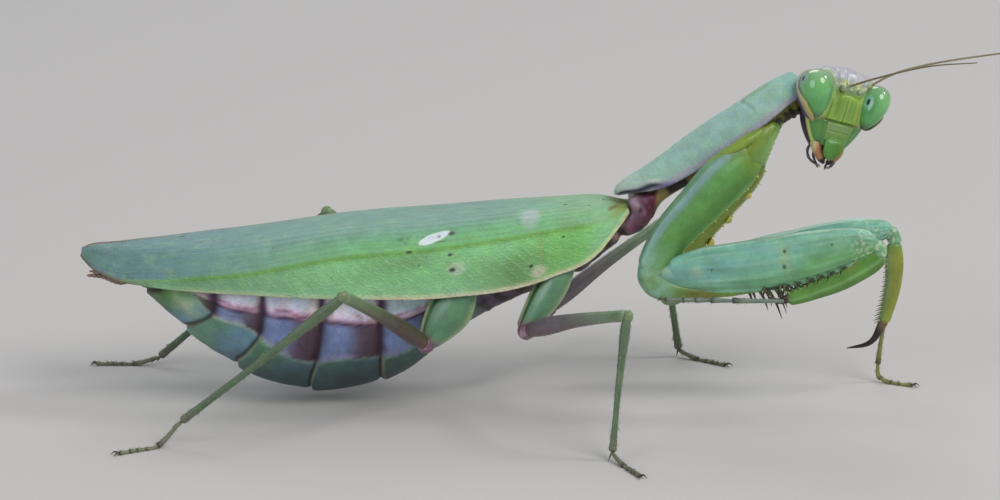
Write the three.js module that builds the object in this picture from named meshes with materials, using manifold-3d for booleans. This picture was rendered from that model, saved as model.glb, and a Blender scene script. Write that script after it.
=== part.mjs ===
// A female praying mantis at life size, standing on five feet with one foreleg folded.
// Millimetres, +Z up, +X towards the head, +Y towards the animal's left.
import * as THREE from "three";
import { mergeVertices } from "three/addons/utils/BufferGeometryUtils.js";
import Module from "manifold-3d";

const wasm = await Module();
wasm.setup();

// ---------------------------------------------------------------- driving dimensions

const GAP = 0.3; // air left between neighbouring pieces
const SHEET = 0.5; // thickness of a wing
const FEELER = 0.26; // least radius of a feeler, toe or palp
const LIP = 0.12; // thickness of the pronotum's edge below its keels
const SOLE = 0.13; // height of a foot's middle line where it lies on the floor
const RIGHT = -1; // sign of Y on the animal's right side
const LEFT = 1;

const PRONOTUM = { rear: [10.2, 0, 19.75], length: 19.4, pitch: 32.6 }; // degrees nose up
const HEAD = { centre: [31.05, -2.0, 28.45], yaw: -69, pitch: -6, roll: -18 }; // between the eyes
const EYE = { offset: 3.0, radii: [1.7, 1.5, 2.2], taper: 0.22, leanOut: 8, leanBack: 12 };
const PALP = [
  [-2.9, 1.15, -3.6],
  [-2.7, 0.95, -4.7],
  [-2.4, 0.8, -5.9],
  [-1.8, 0.5, -6.6],
];
const BELLY_SPLITS = [-3.3, -10.9, -17.4, -24.1, -28.7, -35.2]; // X of the cuts between segments
const THORAX_SPLIT = 4.4; // X of the cut between the two thorax pieces

// Wing case over the back: X, half width, height of the lower margin, height of the ridge.
const WING_DOME = [
  [-38.1, 0.9, 13.3, 13.75],
  [-37.3, 1.7, 12.65, 14.0],
  [-35.4, 2.8, 12.05, 14.15],
  [-31.7, 4.1, 11.65, 14.45],
  [-22.5, 6.0, 11.4, 15.4],
  [-13.5, 6.5, 11.15, 16.6],
  [-4.5, 6.4, 11.3, 17.4],
  [4.5, 5.6, 12.9, 18.15],
  [9.0, 4.4, 15.1, 18.5],
  [10.5, 3.3, 16.8, 18.55],
  [11.6, 1.9, 18.0, 18.55],
];
const DOME_POWER = 2.8; // squareness of the dome's cross-section
const WING_OVERLAP = { over: 20, under: 4 }; // degrees past the midline
const WING_STEP = { over: 0.35, under: -0.5 }; // height that keeps the two wings apart
const STEP_FROM = [0.3, 0.68]; // shares of the way over the back between which the step grows
const TIP_STEP = 0.08; // share of the wing's length, from its tip, that takes the whole step
const ROOT_STEP = 0.94; // share of its length past which the upper wing loses the step

// Trunk behind the neck: X, half width, height of the underside, height of the top.
const TRUNK = [
  [-35.2, 0.7, 11.9, 12.3],
  [-33.8, 1.6, 11.4, 12.7],
  [-32.0, 2.6, 10.2, 13.0],
  [-28.7, 4.1, 6.9, 13.5],
  [-24.1, 5.1, 3.4, 14.1],
  [-20.0, 5.5, 1.55, 14.6],
  [-17.4, 5.6, 1.0, 14.9],
  [-14.0, 5.5, 0.95, 15.3],
  [-10.9, 5.1, 1.8, 15.6],
  [-7.0, 4.2, 4.1, 16.0],
  [-3.3, 3.6, 7.3, 16.2],
  [0.0, 3.4, 8.9, 16.4],
  [3.2, 3.3, 10.4, 16.6],
  [7.1, 2.9, 11.9, 16.7],
  [9.6, 2.3, 14.0, 16.9],
  [12.0, 1.8, 16.2, 17.4],
  [14.2, 1.2, 17.8, 18.5],
];

const WAIST = 0.62; // share of the trunk's height at which it is widest
const ROOF_POWER = 2.6; // squareness of its cross-section above the waist
const BELLY_POWER = 1.9; // and below it

// Joints of each walking leg.
const LEGS = {
  mid: {
    [RIGHT]: {
      hip: [5.5, -4.05, 13.1],
      trochanter: [2.2, -5.2, 7.8],
      knee: [11.2, -15.6, 12.2],
      ankle: [9.9, -19.3, 0.75],
      toe: [12.2, -24.4, SOLE],
    },
    [LEFT]: {
      hip: [5.8, 4.2, 13.2],
      trochanter: [4.2, 5.2, 6.8],
      knee: [15.3, 13.6, 13.1],
      ankle: [16.9, 13.2, 0.75],
      toe: [21.2, 9.9, SOLE],
    },
  },
  hind: {
    [RIGHT]: {
      hip: [-3.1, -4.5, 11.7],
      trochanter: [-6.6, -5.6, 6.6],
      knee: [-13.7, -17.0, 14.3],
      ankle: [-28.3, -14.6, 2.15],
      toe: [-33.7, -17.8, SOLE],
    },
    [LEFT]: {
      hip: [-2.8, 4.7, 11.8],
      trochanter: [-6.2, 5.6, 5.9],
      knee: [-16.2, 14.6, 13.8],
      ankle: [-32.0, 10.3, 0.85],
      toe: [-37.9, 10.3, SOLE],
    },
  },
};

// Each foreleg: the coxa's line, the femur's line, the shin with its claw, and the foot.
const FORELEGS = {
  [RIGHT]: {
    coxa: [
      [22.7, -3.05, 23.8],
      [20.3, -3.4, 21.75],
      [17.9, -3.65, 19.2],
      [15.7, -3.9, 16.8],
      [14.3, -4.1, 14.6],
      [13.6, -4.3, 12.9],
    ],
    femur: [
      [13.1, -4.5, 11.6],
      [17.2, -4.8, 12.9],
      [21.2, -5.0, 13.6],
      [25.2, -5.2, 14.2],
      [28.8, -5.3, 15.1],
      [32.0, -5.3, 15.85],
      [33.9, -5.4, 16.05],
    ],
    tibia: [
      [35.0, -5.4, 14.6],
      [33.1, -5.3, 13.45],
      [30.7, -5.2, 12.2],
      [28.3, -5.2, 11.35],
      [26.0, -5.2, 10.75],
    ],
    claw: [
      [26.2, -5.2, 10.8],
      [25.2, -5.2, 10.6],
      [24.2, -5.2, 11.0],
    ],
    foot: [
      [25.6, -6.6, 11.0],
      [20.4, -6.8, 11.1],
      [14.8, -6.5, 11.1],
    ],
  },
  [LEFT]: {
    coxa: [
      [23.8, 2.7, 23.6],
      [21.7, 3.2, 20.4],
      [19.5, 3.5, 17.4],
      [17.5, 3.8, 14.5],
      [15.9, 4.0, 11.7],
    ],
    femur: [
      [15.1, 4.2, 9.0],
      [18.5, 4.4, 10.1],
      [22.1, 4.5, 11.0],
      [26.7, 4.5, 12.3],
      [31.3, 4.4, 13.9],
      [36.1, 4.2, 15.0],
    ],
    tibia: [
      [36.3, 4.1, 13.7],
      [36.3, 4.1, 9.9],
      [35.5, 4.1, 5.9],
    ],
    claw: [
      [35.5, 4.1, 5.9],
      [34.3, 4.0, 4.1],
      [32.1, 4.0, 3.5],
    ],
    foot: [
      [35.6, 5.2, 5.3],
      [35.2, 5.0, 2.6],
      [35.2, 4.7, 0.6],
      [36.2, 4.2, SOLE],
      [38.2, 3.2, SOLE],
    ],
  },
};

const ANTENNAE = {
  [RIGHT]: [
    [31.7, -4.2, 30.6],
    [33.5, -7.1, 31.7],
    [37.3, -14.4, 34.4],
    [40.8, -22.2, 36.5],
  ],
  [LEFT]: [
    [32.9, -3.3, 30.1],
    [35.8, -1.0, 30.8],
    [45.3, 2.4, 31.8],
    [56.2, 5.6, 31.9],
  ],
};

const CERCI = {
  [RIGHT]: [
    [-34.6, -1.4, 11.4],
    [-36.2, -1.7, 12.0],
    [-37.6, -2.0, 12.15],
  ],
  [LEFT]: [
    [-34.7, 1.4, 11.1],
    [-36.2, 1.8, 11.4],
    [-37.7, 2.2, 11.4],
  ],
};

const COLOURS = {
  leaf: 0x6fa84c, // wings and legs
  sage: 0x8fb9a0, // shield of the neck
  olive: 0x7b8f3a, // face, underside
  eye: 0x5aa055,
  plum: 0x6a4a5c, // soft skin of the thorax
  teal: 0x45685c, // belly plates
  straw: 0xa79b5e, // feelers
};

// ---------------------------------------------------------------- geometry helpers

const UP = new THREE.Vector3(0, 0, 1);
const vector = ([x, y, z]) => new THREE.Vector3(x, y, z);
const signedPower = (x, power) => Math.sign(x) * Math.abs(x) ** power;

// Smooth values read from rows of [position, value, value ...].
function profile(rows) {
  const reader = new THREE.CubicInterpolant(
    rows.map((row) => row[0]),
    rows.flatMap((row) => row.slice(1)),
    rows[0].length - 1,
  );
  return (position) => Array.from(reader.evaluate(position));
}

function curveThrough(points) {
  return new THREE.CatmullRomCurve3(points.map(vector), false, "centripetal");
}

// Evenly spaced numbers from 0 to 1, drawn towards both ends so that round ends stay round.
function stations(count, crowding = 0.5) {
  return Array.from({ length: count + 1 }, (_, i) => {
    const even = i / count;
    const eased = (1 - Math.cos(Math.PI * even)) / 2;
    return THREE.MathUtils.lerp(even, eased, crowding);
  });
}

// A closed surface carried along a curve. section(t, angle) is a rim point as [across, above].
class LoftGeometry extends THREE.BufferGeometry {
  constructor(curve, section, places, sides, up = UP) {
    super();
    const points = [];
    const index = [];
    for (const t of places) {
      const centre = curve.getPoint(t);
      const forward = curve.getTangent(t);
      const across = new THREE.Vector3().crossVectors(forward, up).normalize();
      const above = new THREE.Vector3().crossVectors(across, forward);
      for (let j = 0; j < sides; j++) {
        const [a, b] = section(t, (2 * Math.PI * j) / sides);
        points.push(centre.clone().addScaledVector(across, a).addScaledVector(above, b));
      }
    }
    const last = places.length - 1;
    for (let i = 0; i < last; i++) {
      for (let j = 0; j < sides; j++) {
        const next = (j + 1) % sides;
        const [a, b] = [i * sides + j, (i + 1) * sides + j];
        const [c, d] = [i * sides + next, (i + 1) * sides + next];
        index.push(a, b, c, b, d, c);
      }
    }
    for (const [row, turn] of [[0, false], [last, true]]) {
      const rim = points.slice(row * sides, (row + 1) * sides);
      const middle = new THREE.Vector3();
      rim.forEach((p) => middle.addScaledVector(p, 1 / sides));
      points.push(middle);
      const hub = points.length - 1;
      for (let j = 0; j < sides; j++) {
        const [a, b] = [row * sides + j, row * sides + ((j + 1) % sides)];
        index.push(hub, ...(turn ? [b, a] : [a, b]));
      }
    }
    this.setFromPoints(points);
    this.setIndex(index);
    this.computeVertexNormals();
  }
}

// A closed slab under a curved surface(u, v), both from 0 to 1.
class SlabGeometry extends THREE.BufferGeometry {
  constructor(surface, thickness, rows, columns) {
    super();
    const step = 1e-3;
    const outer = [];
    const inner = [];
    for (let i = 0; i <= rows; i++) {
      for (let j = 0; j <= columns; j++) {
        const [u, v] = [i / rows, j / columns];
        const du = u < 0.5 ? step : -step;
        const dv = v < 0.5 ? step : -step;
        const p = surface(u, v);
        const alongU = surface(u + du, v).sub(p).divideScalar(du);
        const alongV = surface(u, v + dv).sub(p).divideScalar(dv);
        const normal = new THREE.Vector3().crossVectors(alongU, alongV).normalize();
        outer.push(p);
        inner.push(p.clone().addScaledVector(normal, -thickness));
      }
    }
    const width = columns + 1;
    const below = outer.length;
    const index = [];
    const quad = (a, b, c, d) => index.push(a, b, c, b, d, c);
    for (let i = 0; i < rows; i++) {
      for (let j = 0; j < columns; j++) {
        const a = i * width + j;
        const [b, c, d] = [a + width, a + 1, a + width + 1];
        quad(a, b, c, d);
        quad(a + below, c + below, b + below, d + below);
      }
    }
    for (let i = 0; i < rows; i++) {
      const [a, b] = [i * width, (i + 1) * width];
      quad(a, a + below, b, b + below);
      quad(a + columns, b + columns, a + columns + below, b + columns + below);
    }
    for (let j = 0; j < columns; j++) {
      const [a, b] = [j, rows * width + j];
      quad(a, a + 1, a + below, a + 1 + below);
      quad(b, b + below, b + 1, b + 1 + below);
    }
    this.setFromPoints([...outer, ...inner]);
    this.setIndex(index);
    this.computeVertexNormals();
  }
}

function solidOf(geometry) {
  const bare = new THREE.BufferGeometry().copy(geometry);
  bare.deleteAttribute("normal");
  bare.deleteAttribute("uv");
  const merged = mergeVertices(bare, 1e-4);
  const mesh = new wasm.Mesh({
    numProp: 3,
    vertProperties: new Float32Array(merged.attributes.position.array),
    triVerts: new Uint32Array(merged.index.array),
  });
  return new wasm.Manifold(mesh);
}

function geometryOf(solid) {
  const { vertProperties, triVerts } = solid.getMesh();
  const geometry = new THREE.BufferGeometry();
  geometry.setAttribute("position", new THREE.BufferAttribute(vertProperties, 3));
  geometry.setIndex(new THREE.BufferAttribute(triVerts, 1));
  geometry.computeVertexNormals();
  return geometry;
}

const joined = (...geometries) =>
  geometryOf(geometries.map(solidOf).reduce((whole, piece) => whole.add(piece)));

// ---------------------------------------------------------------- the scene graph

const mantis = new THREE.Group();

const head = new THREE.Group();
head.position.set(...HEAD.centre);
const tilt = [HEAD.roll, HEAD.pitch, HEAD.yaw].map(THREE.MathUtils.degToRad);
head.rotation.set(...tilt, "ZYX");
head.updateMatrix();
mantis.add(head);

const fore = new THREE.Group();
fore.position.set(...PRONOTUM.rear);
fore.rotation.y = -THREE.MathUtils.degToRad(PRONOTUM.pitch);
fore.updateMatrix();
mantis.add(fore);

function add(name, geometry, colour, parent = mantis) {
  const material = new THREE.MeshStandardMaterial({
    color: COLOURS[colour],
    roughness: 0.45,
    metalness: 0,
  });
  const mesh = new THREE.Mesh(geometry, material);
  mesh.name = name;
  parent.add(mesh);
}

const sideName = (side) => (side === RIGHT ? "right" : "left");

// A limb piece: rows of [t, half width, half depth] along a curve, with both ends rounded off.
function limb(points, rows, { up = UP, count = 8, sides = 8, power = 2 } = {}) {
  const curve = curveThrough(points);
  const size = profile(rows);
  const length = curve.getLength();
  const [leastReach, leastShare] = [0.3, 0.45]; // of the rounded ends
  const rounded = (t) => {
    const reach = Math.max(rows[0][1], leastReach) / length;
    const near = Math.min(1, Math.min(t, 1 - t) / reach);
    return Math.max(leastShare, Math.sqrt(1 - (1 - near) ** 2));
  };
  const section = (t, angle) => {
    const [width, depth] = size(t).map((half) => half * rounded(t));
    return [
      width * signedPower(Math.cos(angle), 2 / power),
      depth * signedPower(Math.sin(angle), 2 / power),
    ];
  };
  return new LoftGeometry(curve, section, stations(count), sides, up);
}

// A thin cone from a base point to a tip, for a spine or a claw.
function spine(base, tip, radius) {
  const axis = tip.clone().sub(base);
  const cone = new THREE.ConeGeometry(radius, axis.length(), 5);
  cone.translate(0, axis.length() / 2, 0);
  const turn = new THREE.Quaternion().setFromUnitVectors(
    new THREE.Vector3(0, 1, 0),
    axis.normalize(),
  );
  return cone.applyQuaternion(turn).translate(base.x, base.y, base.z);
}

// The same line, shortened by a length at its start and its end.
function trimmed(points, start, end) {
  const curve = curveThrough(points);
  const length = curve.getLength();
  return [0, 0.2, 0.4, 0.6, 0.8, 1].map((share) => {
    const at = THREE.MathUtils.lerp(start / length, 1 - end / length, share);
    return curve.getPointAt(at).toArray();
  });
}

// ---------------------------------------------------------------- head

// An egg, wide at the top, leaning outwards and back.
function eyeball(side, allowance) {
  const [depth, width, height] = EYE.radii.map((radius) => radius + allowance);
  const egg = new THREE.SphereGeometry(1, 16, 10);
  const position = egg.getAttribute("position");
  for (let i = 0; i < position.count; i++) {
    const swell = 1 + EYE.taper * position.getZ(i);
    position.setX(i, position.getX(i) * swell);
    position.setY(i, position.getY(i) * swell);
  }
  egg.scale(depth, width, height);
  egg.rotateY(THREE.MathUtils.degToRad(-EYE.leanBack));
  egg.rotateX(THREE.MathUtils.degToRad(-EYE.leanOut * side));
  return egg.translate(0, EYE.offset * side, 0);
}

// The head's capsule; an allowance makes it larger all round.
function skull(allowance) {
  // Height above the eyes' middle, place of the section's middle, half width, half depth.
  const [chin, crown] = [-6.1, 2.75];
  const outline = profile([
    [chin, -1.4, 0.55, 0.35],
    [-5.5, -1.35, 0.9, 0.6],
    [-4.8, -1.3, 1.3, 0.85],
    [-4.0, -1.25, 1.8, 1.1],
    [-3.1, -1.25, 2.4, 1.4],
    [-2.2, -1.2, 2.8, 1.55],
    [-1.0, -1.05, 2.95, 1.6],
    [0.3, -0.9, 2.95, 1.5],
    [1.4, -0.8, 2.7, 1.3],
    [2.2, -0.7, 2.2, 1.0],
    [crown, -0.6, 1.2, 0.6],
  ]);
  const upright = new THREE.LineCurve3(
    new THREE.Vector3(0, 0, chin - allowance),
    new THREE.Vector3(0, 0, crown + allowance),
  );
  const section = (t, angle) => {
    const [middle, width, depth] = outline(THREE.MathUtils.lerp(chin, crown, t));
    return [
      (width + allowance) * Math.cos(angle),
      middle + (depth + allowance) * signedPower(Math.sin(angle), 0.85),
    ];
  };
  return new LoftGeometry(upright, section, stations(12, 0.3), 18, new THREE.Vector3(1, 0, 0));
}

function makeHead() {
  for (const side of [RIGHT, LEFT]) {
    add(`eye_${sideName(side)}`, eyeball(side, 0), "eye", head);
    const feeler = [[0, FEELER, FEELER], [1, FEELER, FEELER]];
    const palp = PALP.map(([x, y, z]) => [x, y * side, z]);
    add(`palp_${sideName(side)}`, limb(palp, feeler, { count: 5, sides: 6 }), "plum", head);
  }
  const sockets = [RIGHT, LEFT].map((side) => solidOf(eyeball(side, GAP)));
  const capsule = sockets.reduce((left, socket) => left.subtract(socket), solidOf(skull(0)));
  add("head", geometryOf(capsule), "olive", head);
}

function makeAntennae() {
  for (const side of [RIGHT, LEFT]) {
    const feeler = limb(
      ANTENNAE[side],
      [
        [0, 0.36, 0.36],
        [0.06, 0.28, 0.28],
        [1, FEELER, FEELER],
      ],
      { count: 12, sides: 6 },
    );
    add(`antenna_${sideName(side)}`, feeler, "straw");
  }
}

// ---------------------------------------------------------------- neck and fore body

function makeForeBody() {
  // Share of the length, half width, height of the side keels, height of the ridge.
  const shield = profile([
    [0, 1.0, -0.4, -0.05],
    [0.06, 1.6, -0.75, 0.15],
    [0.16, 1.8, -1.6, 0.15],
    [0.25, 1.82, -2.1, 0.22],
    [0.35, 1.85, -2.25, 0.42],
    [0.55, 2.15, -2.1, 0.65],
    [0.74, 2.75, -1.75, 0.7],
    [0.9, 2.3, -1.45, 0.74],
    [0.97, 1.7, -1.3, 0.5],
    [1, 1.1, -1.0, 0.2],
  ]);
  const alongBack = new THREE.LineCurve3(
    new THREE.Vector3(0, 0, 0),
    new THREE.Vector3(PRONOTUM.length, 0, 0),
  );
  const pronotum = new LoftGeometry(
    alongBack,
    (t, angle) => {
      const [width, keel, ridge] = shield(t);
      const above = Math.sin(angle);
      const height = above > 0 ? (ridge - keel) * above ** 0.9 : LIP * above;
      return [width * signedPower(Math.cos(angle), 0.9), keel + height];
    },
    stations(15, 0.6),
    14,
  );
  add("pronotum", pronotum, "sage", fore);

  // The breast under the shield, with the same stations.
  const breast = profile([
    [0.15, 0.9, -2.9],
    [0.3, 1.35, -3.3],
    [0.55, 1.5, -3.45],
    [0.76, 1.75, -3.5],
    [0.9, 1.5, -3.4],
    [0.97, 1.1, -2.9],
  ]);
  const [first, last] = [0.15, 0.97];
  const prosternum = new LoftGeometry(
    new THREE.LineCurve3(
      new THREE.Vector3(first * PRONOTUM.length, 0, 0),
      new THREE.Vector3(last * PRONOTUM.length, 0, 0),
    ),
    (t, angle) => {
      const share = THREE.MathUtils.lerp(first, last, t);
      const [width, floor] = breast(share);
      const roof = shield(share)[1] - LIP - GAP;
      const above = Math.sin(angle);
      const height = above > 0 ? roof : roof + (roof - floor) * above;
      return [width * signedPower(Math.cos(angle), above > 0 ? 0.35 : 0.9), height];
    },
    stations(9, 0.4),
    12,
  );
  add("prosternum", prosternum, "olive", fore);

  // The neck reaches into the head and is cut back to its surface.
  const reach = limb(
    [
      [PRONOTUM.length + 0.3, 0, -1.6],
      [PRONOTUM.length + 1.8, 0, -2.6],
      [PRONOTUM.length + 3.2, -0.4, -3.6],
    ],
    [
      [0, 1.0, 0.9],
      [1, 0.9, 0.8],
    ],
    { count: 6, sides: 10 },
  );
  const toHead = head.matrix.clone().invert().multiply(fore.matrix);
  const around = [skull(GAP), eyeball(RIGHT, GAP)].map(solidOf);
  const neck = around.reduce((left, cut) => left.subtract(cut), solidOf(reach.applyMatrix4(toHead)));
  add("neck", geometryOf(neck), "olive", head);
}

// ---------------------------------------------------------------- trunk

const trunkAt = profile(TRUNK);

// The trunk's cross-section: flat-topped under the wings, deep and rounded below.
function trunkSection(x, angle) {
  const [width, low, high] = trunkAt(x);
  const middle = THREE.MathUtils.lerp(low, high, WAIST);
  const above = Math.sin(angle);
  const power = 2 / (above > 0 ? ROOF_POWER : BELLY_POWER);
  const height = above > 0 ? high - middle : middle - low;
  return [
    width * signedPower(Math.cos(angle), power),
    middle + height * signedPower(above, power),
  ];
}

function trunkPiece(from, to, count) {
  const line = new THREE.LineCurve3(new THREE.Vector3(from, 0, 0), new THREE.Vector3(to, 0, 0));
  const section = (t, angle) => trunkSection(THREE.MathUtils.lerp(from, to, t), angle);
  return new LoftGeometry(line, section, stations(count, 0), 20);
}

function makeTrunk() {
  BELLY_SPLITS.slice(1).forEach((rear, i) => {
    const piece = trunkPiece(rear + GAP / 2, BELLY_SPLITS[i] - GAP / 2, 5);
    add(`abdomen_${i + 1}`, piece, "teal");
  });
  const [rear, front] = [BELLY_SPLITS[0] + GAP / 2, TRUNK.at(-1)[0]];
  add("metathorax", trunkPiece(rear, THORAX_SPLIT - GAP / 2, 4), "plum");
  add("mesothorax", trunkPiece(THORAX_SPLIT + GAP / 2, front, 6), "plum");
  for (const side of [RIGHT, LEFT]) {
    const cercus = limb(
      CERCI[side],
      [
        [0, 0.38, 0.38],
        [1, FEELER, FEELER],
      ],
      { count: 5, sides: 6 },
    );
    add(`cercus_${sideName(side)}`, cercus, "straw");
  }
}

// ---------------------------------------------------------------- wings

const domeAt = profile(WING_DOME);
const WING_SPAN = [WING_DOME[0][0], WING_DOME.at(-1)[0]];

// A point on a wing: u from tip to root, v from the lower margin over the back.
function wingPoint(side, layer, u, v) {
  const x = THREE.MathUtils.lerp(...WING_SPAN, u);
  const [width, low, high] = domeAt(x);
  const lap = WING_OVERLAP[layer] * Math.sqrt(Math.sin(Math.PI * THREE.MathUtils.clamp(u, 0, 1)));
  const angle = THREE.MathUtils.degToRad((90 + lap) * v);
  const root = 1 - THREE.MathUtils.smoothstep(u, ROOT_STEP, 1);
  const inboard = Math.max(
    THREE.MathUtils.smoothstep(v, ...STEP_FROM),
    1 - THREE.MathUtils.smoothstep(u, 0, TIP_STEP),
  );
  const step = WING_STEP[layer] * inboard * (layer === "over" ? root : 1);
  return new THREE.Vector3(
    x,
    side * width * signedPower(Math.cos(angle), 2 / DOME_POWER),
    low + (high - low) * signedPower(Math.sin(angle), 2 / DOME_POWER) + step,
  );
}

function makeWings() {
  for (const [side, layer] of [[RIGHT, "over"], [LEFT, "under"]]) {
    const surface = (u, v) => wingPoint(side, layer, side === RIGHT ? u : 1 - u, v);
    add(`tegmen_${sideName(side)}`, new SlabGeometry(surface, SHEET, 19, 8), "leaf");
  }
}

// ---------------------------------------------------------------- walking legs

const LEG_SIZES = {
  // Half width and half depth along each piece.
  coxa: [[0, 0.85, 1.1], [0.35, 0.95, 1.45], [0.8, 0.8, 1.1], [1, 0.7, 0.85]],
  femur: [[0, 0.65, 0.75], [0.15, 0.6, 0.8], [0.6, 0.45, 0.6], [1, 0.5, 0.55]],
  tibia: [[0, 0.45, 0.5], [0.2, 0.4, 0.45], [1, 0.38, 0.4]],
  tarsus: [[0, 0.3, 0.3], [0.6, FEELER, FEELER], [0.8, 0.42, 0.3], [1, 0.4, 0.28]],
};

// From the ankle down to the floor, then flat along it.
function footLine(ankle, toe) {
  const [heel, ball, clear] = [0.42, 0.7, 0.75]; // shares of the way, then the ankle's allowance
  const onFloor = (share) => vector(ankle).lerp(vector(toe), share).setZ(SOLE).toArray();
  return trimmed([ankle, onFloor(heel), onFloor(ball), toe], clear, 0);
}

// What would sink into the floor is pressed flat at Z = 0.
function flattened(geometry) {
  const position = geometry.getAttribute("position");
  for (let i = 0; i < position.count; i++) {
    position.setZ(i, Math.max(0, position.getZ(i)));
  }
  geometry.computeVertexNormals();
  return geometry;
}

function makeWalkingLegs() {
  for (const [pair, sides] of Object.entries(LEGS)) {
    for (const side of [RIGHT, LEFT]) {
      const { hip, trochanter, knee, ankle, toe } = sides[side];
      const out = new THREE.Vector3(0, side, 0);
      const lines = {
        coxa: trimmed([hip, trochanter], 0, 0.6),
        femur: trimmed([trochanter, knee], 0.5, 0.2),
        tibia: trimmed([knee, ankle], 0.95, 0.1),
        tarsus: footLine(ankle, toe),
      };
      for (const [piece, line] of Object.entries(lines)) {
        const up = piece === "coxa" ? out : UP;
        const count = piece === "tarsus" ? 8 : 5;
        const geometry = limb(line, LEG_SIZES[piece], { up, count, sides: 8 });
        const name = `${pair}_${sideName(side)}_${piece}`;
        add(name, piece === "tarsus" ? flattened(geometry) : geometry, "leaf");
      }
    }
  }
}

// ---------------------------------------------------------------- forelegs

const FORE_SIZES = {
  // Half width across the body, then half depth in the plane of the leg.
  coxa: [[0, 1.0, 1.4], [0.22, 1.3, 2.2], [0.5, 1.2, 1.95], [0.8, 1.05, 1.6], [1, 0.95, 1.45]],
  femur: [
    [0, 0.8, 1.05],
    [0.18, 1.05, 1.95],
    [0.38, 1.2, 2.35],
    [0.58, 1.2, 2.3],
    [0.77, 1.0, 2.0],
    [0.92, 0.75, 1.35],
    [1, 0.6, 0.85],
  ],
  tibia: [[0, 0.5, 0.6], [0.3, 0.5, 0.75], [1, 0.42, 0.55]],
  claw: [[0, 0.4, 0.55], [0.5, 0.3, 0.36], [1, 0.2, 0.2]],
  foot: [[0, FEELER, FEELER], [0.6, FEELER, FEELER], [1, 0.3, 0.28]],
};
const OUTER_SPINES = { count: 4, from: 0.6, to: 0.86, length: 0.7, radius: 0.3 };
const INNER_SPINES = { count: 3, from: 0.47, to: 0.6, length: 1.9, radius: 0.34 };
const TIBIA_SPINES = { count: 7, from: 0.25, to: 0.92, length: 0.9, radius: 0.22 };
const SPINE_OFFSET = 0.6; // of the femur's two rows of spines from its middle
const TROCHANTER_ROOM = 0.95; // length left free between coxa and femur

// A row of spines under a limb, rooted inside it, spread outwards and leaning towards the body.
function spineRow(curve, below, depth, { count, from, to, length, radius }, offset) {
  const [rooted, leaning, closing] = [0.55, 0.35, 0.7];
  return Array.from({ length: count }, (_, i) => {
    const t = THREE.MathUtils.lerp(from, to, i / (count - 1));
    const base = curve.getPoint(t).addScaledVector(below, depth(t) * rooted);
    base.y += offset;
    const reach = length + depth(t) * (1 - rooted);
    const lean = curve.getTangent(t).multiplyScalar(-leaning * length);
    const tip = base.clone().addScaledVector(below, reach).add(lean);
    tip.y += offset * closing;
    return spine(base, tip, radius);
  });
}

function makeForelegs() {
  const out = new THREE.Vector3(0, -1, 0);
  for (const side of [RIGHT, LEFT]) {
    const { coxa, femur, tibia, claw, foot } = FORELEGS[side];
    const name = `fore_${sideName(side)}`;
    const swap = (rows) => rows.map(([t, across, deep]) => [t, deep, across]);
    const piece = (points, rows, count, sides = 10) =>
      limb(points, swap(rows), { up: out, count, sides });
    add(`${name}_coxa`, piece(trimmed(coxa, 0, TROCHANTER_ROOM), FORE_SIZES.coxa, 9), "leaf");

    const femurCurve = curveThrough(femur);
    const femurDepth = profile(FORE_SIZES.femur);
    const down = new THREE.Vector3(0.1, 0, -1).normalize();
    const depth = (t) => femurDepth(t)[1];
    const spines = [
      ...spineRow(femurCurve, down, depth, OUTER_SPINES, SPINE_OFFSET * side),
      ...spineRow(femurCurve, down, depth, INNER_SPINES, -SPINE_OFFSET * side),
    ];
    add(`${name}_femur`, joined(piece(femur, FORE_SIZES.femur, 10, 12), ...spines), "leaf");

    const tibiaCurve = curveThrough(tibia);
    const tibiaDepth = profile(FORE_SIZES.tibia);
    const inward = side === RIGHT ? new THREE.Vector3(-0.4, 0, 0.9) : new THREE.Vector3(-1, 0, 0);
    const comb = spineRow(tibiaCurve, inward.normalize(), (t) => tibiaDepth(t)[1], TIBIA_SPINES, 0);
    const shin = piece(tibia, FORE_SIZES.tibia, 8);
    const hook = piece(claw, FORE_SIZES.claw, 5, 8);
    const teeth = side === LEFT ? comb : [];
    add(`${name}_tibia`, joined(shin, hook, ...teeth), "leaf");

    const toes = piece(foot, FORE_SIZES.foot, 10, 6);
    add(`${name}_tarsus`, side === LEFT ? flattened(toes) : toes, "leaf");
  }
}

// ---------------------------------------------------------------- assembly

makeHead();
makeAntennae();
makeForeBody();
makeTrunk();
makeWings();
makeWalkingLegs();
makeForelegs();

// The origin is on the floor, under the middle of the whole animal.
const bounds = new THREE.Box3().setFromObject(mantis, true);
const middle = bounds.getCenter(new THREE.Vector3());
mantis.position.set(-middle.x, -middle.y, -bounds.min.z);

export default mantis;
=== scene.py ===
"""Looks of a life-size praying mantis: skin, shell plates, eyes, wings, spines and feelers.

Shapes are worked out in millimetres in the body's own frame: +X to the head, +Y to the animal's
left, +Z up from the floor, with X = 0 between the mid and hind legs' hips.
"""
import math

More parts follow.
